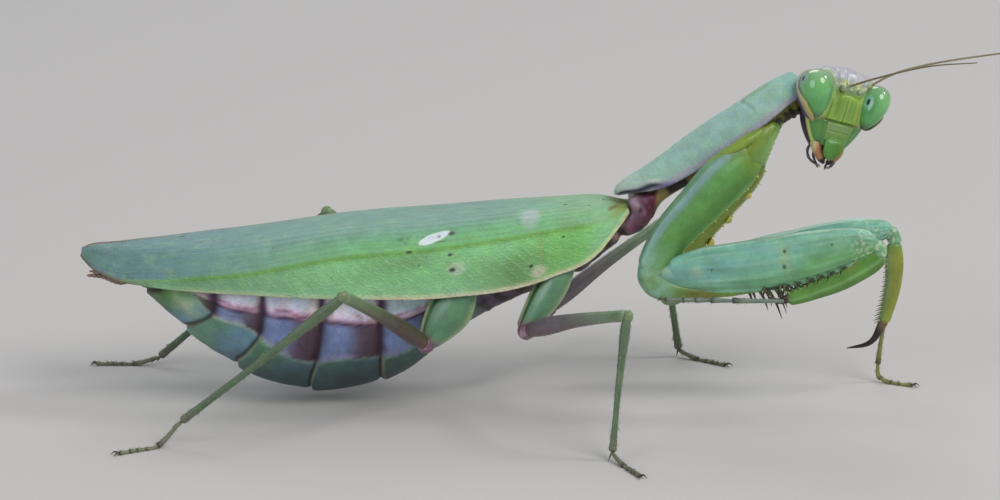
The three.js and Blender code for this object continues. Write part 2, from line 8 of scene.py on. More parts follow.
import bpy
import numpy as np
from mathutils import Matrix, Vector


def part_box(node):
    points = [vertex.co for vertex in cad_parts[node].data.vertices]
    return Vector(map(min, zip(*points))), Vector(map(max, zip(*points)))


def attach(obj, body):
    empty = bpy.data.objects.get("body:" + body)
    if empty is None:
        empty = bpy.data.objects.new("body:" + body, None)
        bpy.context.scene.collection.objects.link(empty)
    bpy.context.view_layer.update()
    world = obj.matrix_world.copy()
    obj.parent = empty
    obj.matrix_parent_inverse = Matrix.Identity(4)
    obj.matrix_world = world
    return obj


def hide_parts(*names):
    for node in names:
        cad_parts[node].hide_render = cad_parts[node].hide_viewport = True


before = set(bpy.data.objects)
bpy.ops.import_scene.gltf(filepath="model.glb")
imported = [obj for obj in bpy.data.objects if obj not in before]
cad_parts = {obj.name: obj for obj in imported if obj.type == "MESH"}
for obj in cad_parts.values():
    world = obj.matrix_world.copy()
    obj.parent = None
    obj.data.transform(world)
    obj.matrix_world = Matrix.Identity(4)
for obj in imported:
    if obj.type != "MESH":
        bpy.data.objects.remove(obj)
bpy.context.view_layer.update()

# ---------------------------------------------------------------- driving dimensions

MM = 0.001
RIGHT, LEFT = -1, 1
SIDE_NAMES = {RIGHT: "right", LEFT: "left"}
SOLE = 0.13  # height of a foot's middle line where it lies on the floor

PRONOTUM = {"rear": (10.2, 0, 19.75), "length": 19.4, "pitch": 32.6}
HEAD = {"centre": (31.05, -2.0, 28.45), "yaw": -69, "pitch": -6, "roll": -18}
EYE = {"taper": 0.34, "lean_out": 11, "lean_back": 12}
EYE_OFFSET = {RIGHT: 2.95, LEFT: 2.83}
EYE_RADII = {RIGHT: np.array([1.7, 1.42, 2.2]), LEFT: np.array([1.65, 1.28, 2.1])}

# Wing case over the back: X, half width, height of the lower margin, height of the ridge.
WING_DOME = [
    (-38.1, 0.9, 13.3, 13.75), (-37.3, 1.7, 12.65, 14.0), (-35.4, 2.8, 12.05, 14.15),
    (-31.7, 4.1, 11.65, 14.45), (-22.5, 6.0, 11.4, 15.4), (-13.5, 6.5, 11.15, 16.6),
    (-4.5, 6.4, 11.3, 17.4), (4.5, 5.6, 12.9, 18.15), (9.0, 4.4, 15.1, 18.5),
    (10.5, 3.3, 16.8, 18.55), (11.6, 1.9, 18.0, 18.55),
]
DOME_POWER = 2.8  # squareness of the dome's sections: 2 is an ellipse

# Hip, trochanter, knee, ankle and toe of each walking leg.
LEGS = {
    ("mid", RIGHT): [(5.5, -4.05, 13.1), (2.2, -5.2, 7.8), (11.2, -15.6, 12.2), (9.9, -19.3, 0.75),
                     (12.2, -24.4, SOLE)],
    ("mid", LEFT): [(5.8, 4.2, 13.2), (4.2, 5.2, 6.8), (15.3, 13.6, 13.1), (16.9, 13.2, 0.75),
                    (21.2, 9.9, SOLE)],
    ("hind", RIGHT): [(-3.1, -4.5, 11.7), (-6.6, -5.6, 6.6), (-13.7, -17.0, 14.3),
                      (-28.3, -14.6, 2.15), (-33.7, -17.8, SOLE)],
    ("hind", LEFT): [(-2.8, 4.7, 11.8), (-6.2, 5.6, 5.9), (-16.2, 14.6, 13.8), (-32.0, 10.3, 0.85),
                     (-37.9, 10.3, SOLE)],
}

FORELEGS = {
    RIGHT: {
        "coxa": [(22.7, -3.05, 23.8), (20.3, -3.4, 21.75), (17.9, -3.65, 19.2), (15.7, -3.9, 16.8),
                 (14.3, -4.1, 14.6), (13.6, -4.3, 12.9)],
        "femur": [(14.9, -4.7, 13.0), (17.2, -4.8, 13.3), (21.2, -5.0, 13.7), (25.2, -5.2, 14.27),
                  (28.8, -5.3, 15.1), (32.0, -5.3, 15.85), (34.0, -5.4, 16.1)],
        "tibia": [(34.4, -5.4, 15.05), (33.5, -5.35, 14.35), (32.4, -5.3, 13.7), (30.7, -5.2, 12.65),
                  (28.9, -5.2, 11.9), (27.1, -5.2, 11.2), (25.9, -5.2, 10.85)],
        "claw": [(26.1, -5.2, 10.8), (25.2, -5.2, 10.6), (24.2, -5.2, 11.0)],
        "foot": [(25.6, -6.6, 11.0), (20.4, -6.8, 11.1), (14.8, -6.5, 11.1)],
    },
    LEFT: {
        "coxa": [(23.8, 2.7, 23.6), (21.7, 3.2, 20.4), (19.5, 3.5, 17.4), (17.5, 3.8, 14.5),
                 (15.9, 4.0, 11.7)],
        "femur": [(15.1, 4.2, 9.0), (18.5, 4.4, 10.1), (22.1, 4.5, 11.0), (26.7, 4.5, 12.3),
                  (31.3, 4.4, 13.9), (36.1, 4.2, 15.0)],
        "tibia": [(36.3, 4.1, 13.7), (36.3, 4.1, 9.9), (35.5, 4.1, 5.9)],
        "claw": [(35.5, 4.1, 5.9), (34.3, 4.0, 4.1), (32.1, 4.0, 3.5)],
        "foot": [(35.6, 5.2, 5.3), (35.2, 5.0, 2.6), (35.2, 4.7, 0.6), (36.2, 4.2, SOLE),
                 (38.2, 3.2, SOLE)],
    },
}

ANTENNAE = {
    RIGHT: [(31.7, -4.2, 30.6), (33.5, -7.1, 31.7), (37.3, -14.4, 34.4), (40.8, -22.2, 36.5)],
    LEFT: [(32.9, -3.3, 30.1), (35.8, -1.0, 30.8), (45.3, 2.4, 31.8), (56.2, 5.6, 31.9)],
}
CERCI = {
    RIGHT: [(-34.6, -1.4, 11.4), (-36.2, -1.7, 12.0), (-37.6, -2.0, 12.15)],
    LEFT: [(-34.7, 1.4, 11.1), (-36.2, 1.8, 11.4), (-37.7, 2.2, 11.4)],
}
JOINT_LENGTH = 0.42  # millimetres, of the small joints of feelers and cerci

# ---------------------------------------------------------------- numbers and fields


def lerp(a, b, share):
    return a + (b - a) * share


def ramp(x, low, high):
    """0 before low, 1 after high, and smooth between; low may be the larger."""
    share = np.clip((x - low) / (high - low), 0, 1)
    return share * share * (3 - 2 * share)


def bell(x, width):
    return np.exp(-((x / width) ** 2))


def signed_power(x, power):
    return np.sign(x) * np.abs(x) ** power


def either(side, right, left):
    return right if side == RIGHT else left


def grid(x, y, z):
    """Points from three arrays of coordinates, each spread over the others."""
    return np.stack(np.broadcast_arrays(x, y, z), -1)


def full_turn(sides, start=0.0):
    """Angles of points round a ring."""
    return np.linspace(start, start + 2 * np.pi, sides, endpoint=False)


def unit(vectors):
    return vectors / np.maximum(np.linalg.norm(vectors, axis=-1, keepdims=True), 1e-9)


def turned(points, degrees, axis):
    """Points turned about the X (0), Y (1) or Z (2) axis."""
    a, b = (axis + 1) % 3, (axis + 2) % 3
    cos, sin = math.cos(math.radians(degrees)), math.sin(math.radians(degrees))
    result = np.array(points, float)
    result[..., a] = cos * points[..., a] - sin * points[..., b]
    result[..., b] = sin * points[..., a] + cos * points[..., b]
    return result


def noise(points, size, seed=0):
    """Smooth noise from -1 to 1, with blobs of about the given size."""
    at = points / size + 7.31 * seed
    cell = np.floor(at).astype(np.int64)
    within = at - cell
    within = within * within * (3 - 2 * within)
    total = np.zeros(at.shape[:-1])
    # A number from -1 to 1 for each corner of the cell, mixed from the corner's whole coordinates.
    for corner in np.ndindex(2, 2, 2):
        x, y, z = np.moveaxis(cell + np.array(corner), -1, 0)
        mixed = (x * 374761393 + y * 668265263 + z * 1274126177) & 0x7FFFFFFF
        mixed = ((mixed ^ (mixed >> 13)) * 1103515245) & 0x7FFFFFFF
        value = ((mixed ^ (mixed >> 16)) & 0xFFFF) / 32767.5 - 1
        weight = np.prod(np.where(corner, within, 1 - within), axis=-1)
        total += weight * value
    return total


def cloudy(points, size):
    """Three layers of noise, each half the size and half the strength of the one before."""
    return sum(noise(points, size / 2**k, k) / 2**k for k in range(3)) / 1.6


def smooth_reader(places, values):
    """Reads a smooth curve through values, one row of them for each place."""
    places, values = np.array(places, float), np.array(values, float)
    step = np.diff(places)
    slope = np.diff(values, axis=0) / step[:, None]
    before, after = step[:-1, None], step[1:, None]
    inner = (slope[:-1] * after + slope[1:] * before) / (before + after)
    tangent = np.concatenate([slope[:1], inner, slope[-1:]])

    def read(at):
        at = np.clip(np.asarray(at, float), places[0], places[-1])
        i = np.clip(np.searchsorted(places, at, "right") - 1, 0, len(step) - 1)
        s = ((at - places[i]) / step[i])[..., None]
        h = step[i][..., None]
        start = values[i] * (1 + 2 * s) * (1 - s) ** 2 + tangent[i] * h * s * (1 - s) ** 2
        end = values[i + 1] * (3 - 2 * s) * s**2 - tangent[i + 1] * h * (1 - s) * s**2
        return start + end

    return read


def profile(rows):
    """Smooth values read from rows of [place, value, value ...]; one array for each value."""
    rows = np.array(rows, float)
    read = smooth_reader(rows[:, 0], rows[:, 1:])
    return lambda at: np.moveaxis(read(at), -1, 0)


class Line:
    """A smooth line through points, read by shares of its length."""

    def __init__(self, points):
        points = np.array(points, float)
        chords = np.linalg.norm(np.diff(points, axis=0), axis=1)
        knots = np.concatenate([[0], np.cumsum(np.sqrt(chords))])
        fine = np.linspace(0, knots[-1], 600)
        self.points = smooth_reader(knots, points)(fine)
        steps = np.linalg.norm(np.diff(self.points, axis=0), axis=1)
        self.reach = np.concatenate([[0], np.cumsum(steps)])
        self.length = self.reach[-1]
        self.headings = unit(np.gradient(self.points, axis=0))

    def read(self, table, t):
        at = np.asarray(t, float) * self.length
        return np.stack([np.interp(at, self.reach, table[:, k]) for k in range(3)], -1)

    def at(self, t):
        return self.read(self.points, t)

    def heading(self, t):
        return unit(self.read(self.headings, t))

    def part(self, start, end, count=7):
        """The same line between two shares of its length."""
        return Line(self.at(np.linspace(start, end, count)))


def stations(count, crowding=0.6):
    """Numbers from 0 to 1, drawn towards both ends so that round ends stay round."""
    even = np.linspace(0, 1, count)
    return lerp(even, (1 - np.cos(np.pi * even)) / 2, crowding)


def linear(colour):
    """A colour given as 0..255 values, as light."""
    share = np.array(colour, float) / 255
    return np.where(share <= 0.04045, share / 12.92, ((share + 0.055) / 1.055) ** 2.4)


# ---------------------------------------------------------------- the frame's own measures

wing_low, wing_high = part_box("tegmen_right")[0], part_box("tegmen_left")[1]
ORIGIN = np.array([wing_low.x / MM - WING_DOME[0][0], (wing_low.y + wing_high.y) / 2 / MM, 0])


def solid_points(node):
    """The corners of a CAD node, in the body's frame."""
    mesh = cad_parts[node].data
    flat = np.zeros(len(mesh.vertices) * 3, np.float32)
    mesh.vertices.foreach_get("co", flat)
    return flat.reshape(-1, 3).astype(float) / MM - ORIGIN


# ---------------------------------------------------------------- patches and pieces


class Patch:
    """A closed tube of rings of points, which can be pushed along its normals and painted.

    tint is its colour, shine its gloss, grain the strength of its fine relief, veins that of its
    net, and place a position on the surface that a pattern can follow.
    """

    def __init__(self, points, tint=(128, 128, 128), shine=0.5, grain=0.3):
        self.points = points
        self.shape = points.shape[:2]
        self.tint = np.broadcast_to(linear(tint), points.shape).copy()
        self.shine = np.full(self.shape, float(shine))
        self.grain = np.full(self.shape, float(grain))
        self.veins = np.zeros(self.shape)
        self.place = np.zeros(points.shape)

    def normals(self):
        """Unit vectors out of the surface at each point."""
        along = np.gradient(self.points, axis=0)
        around = np.roll(self.points, -1, axis=1) - np.roll(self.points, 1, axis=1)
        return unit(np.cross(along, around))

    @property
    def finish(self):
        return np.stack([self.shine, self.grain, self.veins], -1)

    def push(self, height):
        self.points = self.points + self.normals() * np.asarray(height)[..., None]
        return self

    def paint(self, colour, mask=1.0):
        """Covers the tint with a colour, fully where mask is 1."""
        mask = np.clip(np.broadcast_to(mask, self.shape), 0, 1)[..., None]
        self.tint = lerp(self.tint, linear(colour), mask)
        return self

    def shade(self, factor):
        self.tint = self.tint * np.asarray(factor)[..., None]
        return self

    def polish(self, shine, mask=1.0):
        self.shine = lerp(self.shine, shine, np.broadcast_to(mask, self.shape))
        return self


def tube(line, rows, rings, sides, up=(0, 0, 1), blunt=(0.3, 0.3), power=2.0, **looks):
    """A patch along a line, with rounded ends: rows of [share, half width, half depth], or of
    [share, radius]. blunt is how far each end's rounding reaches."""
    line = line if isinstance(line, Line) else Line(line)
    rows = [[*row, row[-1]] if len(row) == 2 else row for row in rows]
    t = stations(rings)
    a = full_turn(sides)
    heading = line.heading(t)
    across = unit(np.cross(heading, np.array(up, float)))
    above = np.cross(across, heading)
    width, depth = profile(rows)(t)
    from_start, from_end = t * line.length, (1 - t) * line.length
    round_off = np.ones(rings)
    for distance, radius in ((from_start, blunt[0]), (from_end, blunt[1])):
        near = np.clip(distance / max(radius, 1e-6), 0, 1)
        round_off *= np.sqrt(np.clip(1 - (1 - near) ** 2, 0.0004, 1))
    cos = signed_power(np.cos(a), 2 / power)
    sin = signed_power(np.sin(a), 2 / power)
    points = (
        line.at(t)[:, None]
        + across[:, None] * ((width * round_off)[:, None] * cos)[..., None]
        + above[:, None] * ((depth * round_off)[:, None] * sin)[..., None]
    )
    patch = Patch(points, **looks)
    patch.t, patch.angle = np.meshgrid(t, np.degrees(a), indexing="ij")
    patch.length = line.length
    patch.along = patch.t * patch.length
    patch.place[..., 0] = patch.along
    patch.place[..., 1] = patch.angle / 60
    return patch


def around(patch, degrees):
    """Degrees between each point's angle and the given one, from -180 to 180."""
    return (patch.angle - degrees + 180) % 360 - 180


def thorn(base, tip, radius, colours, bend=(0, 0, 0), rings=7, sides=8):
    """A curved cone painted from its base colour to its tip colour."""
    base, tip = np.array(base, float), np.array(tip, float)
    middle = (base + tip) / 2 + np.array(bend, float)
    rows = [[0, radius], [0.5, 0.62 * radius], [1, 0.08 * radius]]
    up = (0.31, 0.2, 0.93)
    patch = tube([base, middle, tip], rows, rings, sides, up, (0, 0.04), shine=0.8, grain=0.1)
    patch.paint(colours[0]).paint(colours[1], ramp(patch.t, 0.25, 0.6))
    return patch


def above_floor(patch):
    """The patch, with what is under the floor lifted onto it."""
    patch.points[..., 2] = np.maximum(patch.points[..., 2], 0)
    return patch


HAIR = {"tint": (150, 156, 132), "lean": 1.3, "radius": 0.018}


def bristles(patch, count, length, seed):
    """Fine hairs at random places of a patch, leaning towards its far end."""
    random = np.random.default_rng(seed)
    rings, sides = patch.shape
    at = random.integers(rings // 12, rings - rings // 16, count), random.integers(0, sides, count)
    out = patch.normals()[at]
    ahead = unit(np.gradient(patch.points, axis=0))[at]
    way = unit(out + HAIR["lean"] * ahead + random.normal(0, 0.18, (count, 3)))
    across = unit(np.cross(way, out + [0.05, 0.03, 0.01]))
    above = np.cross(across, way)
    reach = length * random.uniform(0.6, 1.25, count)
    hairs = []
    for k in range(count):
        rows = []
        for share, thin in ((-0.12, 1.0), (0.5, 0.7), (1.0, 0.15)):
            middle = patch.points[at][k] + way[k] * reach[k] * share - out[k] * reach[k] * 0.12 * share**2
            turns = (across[k], above[k], -across[k], -above[k])
            rows.append([middle + turn * HAIR["radius"] * thin for turn in turns])
        hairs.append(Patch(np.array(rows), HAIR["tint"], shine=0.4, grain=0.0))
    return hairs


class Piece:
    """Patches that become one Blender object, which takes the place of solids of the frame."""

    def __init__(self, name, slot, material, replaces, *patches):
        self.name, self.slot, self.material, self.replaces = name, slot, material, replaces
        self.patches = patches

    def layer(self, name):
        """Values of all patches as rows, with the middles of each patch's two end rings added."""
        rows = []
        for patch in self.patches:
            values = getattr(patch, name)
            rows += [values.reshape(-1, 3), values[:1].mean(axis=1), values[-1:].mean(axis=1)]
        return np.concatenate(rows)

    def faces(self):
        """Corners of the quads round all patches, and of the triangles that close their ends."""
        quads, tris, start = [], [], 0
        for patch in self.patches:
            rings, sides = patch.shape
            i, j = np.mgrid[0 : rings - 1, 0:sides]
            a = start + i * sides + j
            b = start + i * sides + (j + 1) % sides
            quads.append(np.stack([a, a + sides, b + sides, b], -1).reshape(-1, 4))
            hub, last = start + rings * sides, start + (rings - 1) * sides
            j = np.arange(sides)
            k = (j + 1) % sides
            tris.append(np.stack([np.full(sides, hub), start + j, start + k], -1))
            tris.append(np.stack([np.full(sides, hub + 1), last + k, last + j], -1))
            start = hub + 2
        return np.concatenate(quads), np.concatenate(tris)

    def build(self):
        """Makes the object, with its colours and finish as attributes of its points."""
        quads, tris = self.faces()
        co = ((self.layer("points") + ORIGIN) * MM).astype(np.float32)
        counts = np.repeat([4, 3], [len(quads), len(tris)])
        starts = np.concatenate([[0], np.cumsum(counts)[:-1]])
        mesh = bpy.data.meshes.new(self.name)
        mesh.vertices.add(len(co))
        mesh.vertices.foreach_set("co", co.ravel())
        mesh.loops.add(int(counts.sum()))
        corners = np.concatenate([quads.ravel(), tris.ravel()])
        mesh.loops.foreach_set("vertex_index", corners.astype(np.int32))
        mesh.polygons.add(len(counts))
        mesh.polygons.foreach_set("loop_start", starts.astype(np.int32))
        mesh.polygons.foreach_set("use_smooth", np.ones(len(counts), bool))
        for name in ("tint", "finish", "place"):
            attribute = mesh.attributes.new(name, "FLOAT_VECTOR", "POINT")
            attribute.data.foreach_set("vector", self.layer(name).astype(np.float32).ravel())
        mesh.update(calc_edges=True)
        mesh.materials.append(self.material)
        piece = bpy.data.objects.new(self.name, mesh)
        bpy.context.scene.collection.objects.link(piece)
        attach(piece, "root")
        if self.replaces:
            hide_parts(*self.replaces)


# ---------------------------------------------------------------- materials

# Numbers of the sockets that a mix node uses for vectors.
MIX_FACTOR, MIX_A, MIX_B, MIX_RESULT = 0, 4, 5, 1


class Shader:
    """Builds a material's nodes; each method returns the new node's output socket."""

    def __init__(self, name):
        self.material = bpy.data.materials.new(name)
        self.material.use_nodes = True
        self.tree = self.material.node_tree
        self.tree.nodes.clear()

    def add(self, kind, inputs=(), output=0, **settings):
        """A node; inputs pairs a socket's name or number with a value or a socket."""
        made = self.tree.nodes.new("ShaderNode" + kind)
        for name, value in settings.items():
            setattr(made, name, value)
        for name, value in dict(inputs).items():
            if isinstance(value, bpy.types.NodeSocket):
                self.tree.links.new(value, made.inputs[name])
            else:
                made.inputs[name].default_value = value
        return made.outputs[output] if made.outputs else made

    def attribute(self, name):
        return self.add("Attribute", output="Vector", attribute_name=name)

    def math(self, operation, a, b):
        return self.add("Math", {0: a, 1: b}, operation=operation)

    def scaled(self, vector, factor):
        return self.add("VectorMath", {0: vector, "Scale": factor}, operation="SCALE")

    def noise(self, vector, scale, detail=3.0):
        inputs = {"Vector": vector, "Scale": scale, "Detail": detail, "Roughness": 0.6}
        return self.add("TexNoise", inputs, "Fac")

    def spread(self, value, low, high, from_low=0.3, from_high=0.7):
        inputs = {0: value, 1: from_low, 2: from_high, 3: low, 4: high}
        return self.add("MapRange", inputs, clamp=True)

    def tinted(self, colour, share, factors):
        """The colour, multiplied by three factors where share is 1."""
        changed = self.add("VectorMath", {0: colour, 1: factors}, operation="MULTIPLY")
        inputs = {MIX_FACTOR: share, MIX_A: colour, MIX_B: changed}
        return self.add("Mix", inputs, MIX_RESULT, data_type="VECTOR")


def cuticle(name, rough, mottle=0.16, streak=0.0, relief=0.03, coat=0.0, reticle=0.0):
    """Insect shell: painted tint with fine mottling, streaks, specks and grain.

    rough is the roughness where shine is 0 and 1, relief the height of the grain in millimetres,
    and reticle the strength of a net of fine veins.
    """
    shader = Shader(name)
    here = shader.add("TexCoord", output="Object")
    tint, finish, place = (shader.attribute(layer) for layer in ("tint", "finish", "place"))
    split = shader.add("SeparateXYZ", {0: finish}).node
    shine, grain, veins = split.outputs

    broad, fine = shader.noise(here, 1 / MM / 1.6), shader.noise(here, 1 / MM / 0.16, 2.0)
    colour = shader.scaled(tint, shader.spread(broad, 1 - mottle, 1 + mottle))
    colour = shader.scaled(colour, shader.spread(fine, 1 - mottle / 2, 1 + mottle / 2))
    warm = shader.spread(shader.noise(here, 1 / MM / 0.7), 0, 0.7)
    colour = shader.tinted(colour, warm, (1.14, 1.03, 0.78))
    if streak:
        drawn = shader.add("Mapping", {"Vector": place, "Scale": (0.35, 3.2, 1)})
        colour = shader.scaled(colour, shader.spread(shader.noise(drawn, 1.0, 4.0), 1 - streak, 1 + streak))
    height = shader.math("ADD", fine, shader.noise(here, 1 / MM / 0.07, 2.0))
    height = shader.math("MULTIPLY", height, grain)
    if reticle:
        inputs = {"Vector": place, "Scale": 1.0, "Randomness": 0.85}
        net = shader.add("TexVoronoi", inputs, "Distance", feature="DISTANCE_TO_EDGE")
        wire = shader.math("MULTIPLY", shader.spread(net, 1, 0, 0.02, 0.11), veins)
        colour = shader.tinted(colour, shader.math("MULTIPLY", wire, reticle), (1.18, 1.14, 1.12))
        height = shader.math("ADD", height, shader.math("MULTIPLY", wire, 0.7))
    bump = shader.add("Bump", {"Strength": 1.0, "Distance": relief * MM, "Height": height})
    smooth = shader.spread(shine, *rough, 0, 1)
    surface = shader.add("BsdfPrincipled", {
        "Base Color": colour,
        "Roughness": shader.math("ADD", smooth, shader.spread(broad, -0.05, 0.05)),
        "Normal": bump,
        "Subsurface Weight": 0.08,
        "Subsurface Radius": (0.5, 0.8, 0.3),
        "Subsurface Scale": 0.5 * MM,
        "Coat Weight": coat,
        "Coat Roughness": 0.12,
    })
    shader.add("OutputMaterial", {"Surface": surface})
    return shader.material


# ---------------------------------------------------------------- trunk: one skin from tail to neck

TRUNK_WAIST = 0.62  # share of the trunk's height at which it is widest
TRUNK_POWERS = (2.6, 1.9)  # squareness of its sections above and below that height: 2 is an ellipse
TAIL_ROUNDING = 0.9
SEAMS = [3.4, -3.3, -10.9, -17.4, -24.1, -28.7, -32.2]  # X of the folds between belly segments
# X and how far a fold there runs forward from the belly's middle line to the back.
SEAM_LEAN = profile([[-32.2, 1.0], [-28.7, 2.2], [-24.1, 3.0], [-17.4, 1.6], [-10.9, 0.3], [3.4, 0]])
# X and the angle up the side at which a belly plate ends, and the one where the pale skin starts.
PLATE_EDGE = profile([
    [-35.2, 34], [-30, 22], [-28, 6], [-26.7, -9], [-23, -15], [-20.9, -26], [-18.2, -36],
    [-14.6, -35], [-12, -38], [-8.6, -46], [-3.3, -46], [3.4, -40], [10, -30],
])
PALE_SKIN = profile([
    [-35.2, 40], [-28, 4], [-25.8, -2], [-22.6, -3], [-18, -5], [-14.4, -9], [-12, -13],
    [-9, -18], [-3.3, -20], [3.4, -20],
])


def fore_point(x, y, z):
    """A point of the pronotum's own frame: x from its rear, z up from its back line."""
    return turned(grid(x, y, z).astype(float), -PRONOTUM["pitch"], 1) + np.array(PRONOTUM["rear"])


def in_fore(points):
    """The reverse of fore_point."""
    return turned(points - np.array(PRONOTUM["rear"]), PRONOTUM["pitch"], 1)


# Share of the length, half width, height of the side keels, height of the ridge.
SHIELD = profile([
    [0, 1.0, -0.4, -0.05],
    [0.06, 1.6, -0.75, 0.15],
    [0.16, 1.8, -1.6, 0.15],
    [0.25, 1.82, -2.1, 0.22],
    [0.35, 1.85, -2.25, 0.42],
    [0.55, 2.15, -2.1, 0.65],
    [0.74, 2.75, -1.75, 0.7],
    [0.9, 2.3, -1.45, 0.74],
    [0.97, 1.8, -1.35, 0.5],
    [1, 1.3, -1.1, 0.3],
])


# Rings of the knob between thorax and breast: X, height, pitch, half width, reach up, reach down.
KNOB = [(11.4, 16.9, 10, 2.05, 1.0, 1.5), (12.8, 18.0, 22, 2.15, 1.6, 1.6), (14.2, 19.0, 34, 1.15, 0.8, 0.7)]
# Share of the shield's length, half width and reach down of the breast under it.
BREAST = [(0.21, 1.0, 1.35), (0.32, 1.4, 1.05), (0.55, 1.6, 1.3), (0.76, 1.8, 1.35), (0.84, 1.7, 1.4),
          (0.91, 1.4, 1.65)]
# Millimetres ahead of the shield, height over its line, pitch, half width, reach down of the neck.
NECK = [(0.2, -1.9, 22, 0.95, 1.35), (1.7, -2.6, 5, 0.9, 1.1), (3.2, -3.4, -5, 0.6, 0.9)]


def skin_stations():
    """Rings of the skin: X, height, pitch, half width, reach up, reach down."""
    names = [*(f"abdomen_{i}" for i in range(5, 0, -1)), "metathorax", "mesothorax"]
    points = np.concatenate([solid_points(name) for name in names])
    rows = []
    for x in np.unique(points[:, 0].round(1)):
        ring = points[np.abs(points[:, 0] - x) < 0.06]
        low, high = ring[:, 2].min(), ring[:, 2].max()
        if x < 10 and (not rows or x - rows[-1][0] > 0.5):
            middle = lerp(low, high, TRUNK_WAIST)
            rows.append([x, middle, 0, np.abs(ring[:, 1]).max(), high - middle, middle - low])
    rows += [list(row) for row in KNOB]
    pitch, length = PRONOTUM["pitch"], PRONOTUM["length"]
    for share, width, depth in BREAST:
        x, _, z = fore_point(share * length, 0, SHIELD(share)[1] - 0.1)
        rows.append([x, z, pitch, width, 0.5, depth])
    for ahead, drop, tip, width, reach in NECK:
        x, _, z = fore_point(length + ahead, 0, drop)
        rows.append([x, z, tip, width, 0.85, reach])
    return np.array(rows)


def belly_place(patch):
    """Segment number, share of the segment from its front fold to its rear one, and distance
    from the nearest fold in millimetres."""
    x = patch.points[..., 0]
    x = x - SEAM_LEAN(x)[0] * ramp(patch.lift, -62, -4) + 0.12 * noise(patch.points, 1.4, 3)
    folds = np.array(SEAMS)
    index = np.clip(np.searchsorted(-folds, -x, "right") - 1, 0, len(folds) - 2)
    share = (folds[index] - x) / (folds[index] - folds[index + 1])
    gap = np.min(np.abs(x[..., None] - folds), axis=-1)
    return index, np.clip(share, 0, 1), gap


def make_skin():
    """The trunk's skin, as one tube from the tail to inside the head."""
    rows = skin_stations()
    reach = np.concatenate([[0], np.cumsum(np.hypot(*np.diff(rows[:, :2], axis=0).T))])
    read = smooth_reader(reach / reach[-1], rows)
    rings, sides = 600, 190
    t = stations(rings, 0.12)
    x, z, pitch, width, up, down = np.moveaxis(read(t), -1, 0)
    close = np.sqrt(np.clip(t * reach[-1] / TAIL_ROUNDING, 0.02, 1))
    angle = full_turn(sides, -np.pi / 2)
    sine = np.sin(angle)[None]
    bulge = 2 / np.where(sine > 0, *TRUNK_POWERS)
    wide = (width * close)[:, None] * signed_power(np.cos(angle)[None], bulge)
    tall = np.where(sine > 0, (up * close)[:, None], (down * close)[:, None]) * signed_power(sine, bulge)
    tilt = np.radians(pitch)[:, None]
    # Seen along +X, the sides run from the belly's middle over the right side to the back.
    points = np.stack([x[:, None] - tall * np.sin(tilt), -wide, z[:, None] + tall * np.cos(tilt)], -1)
    patch = Patch(points, (112, 92, 104), shine=0.45, grain=0.6)
    degrees = np.degrees(angle)
    patch.lift = np.broadcast_to(np.where(degrees > 90, 180 - degrees, degrees), patch.shape)
    patch.place[..., 0] = points[..., 0]
    patch.place[..., 1] = patch.lift / 12
    model_belly(patch)
    model_thorax(patch)
    model_breast(patch)
    return patch


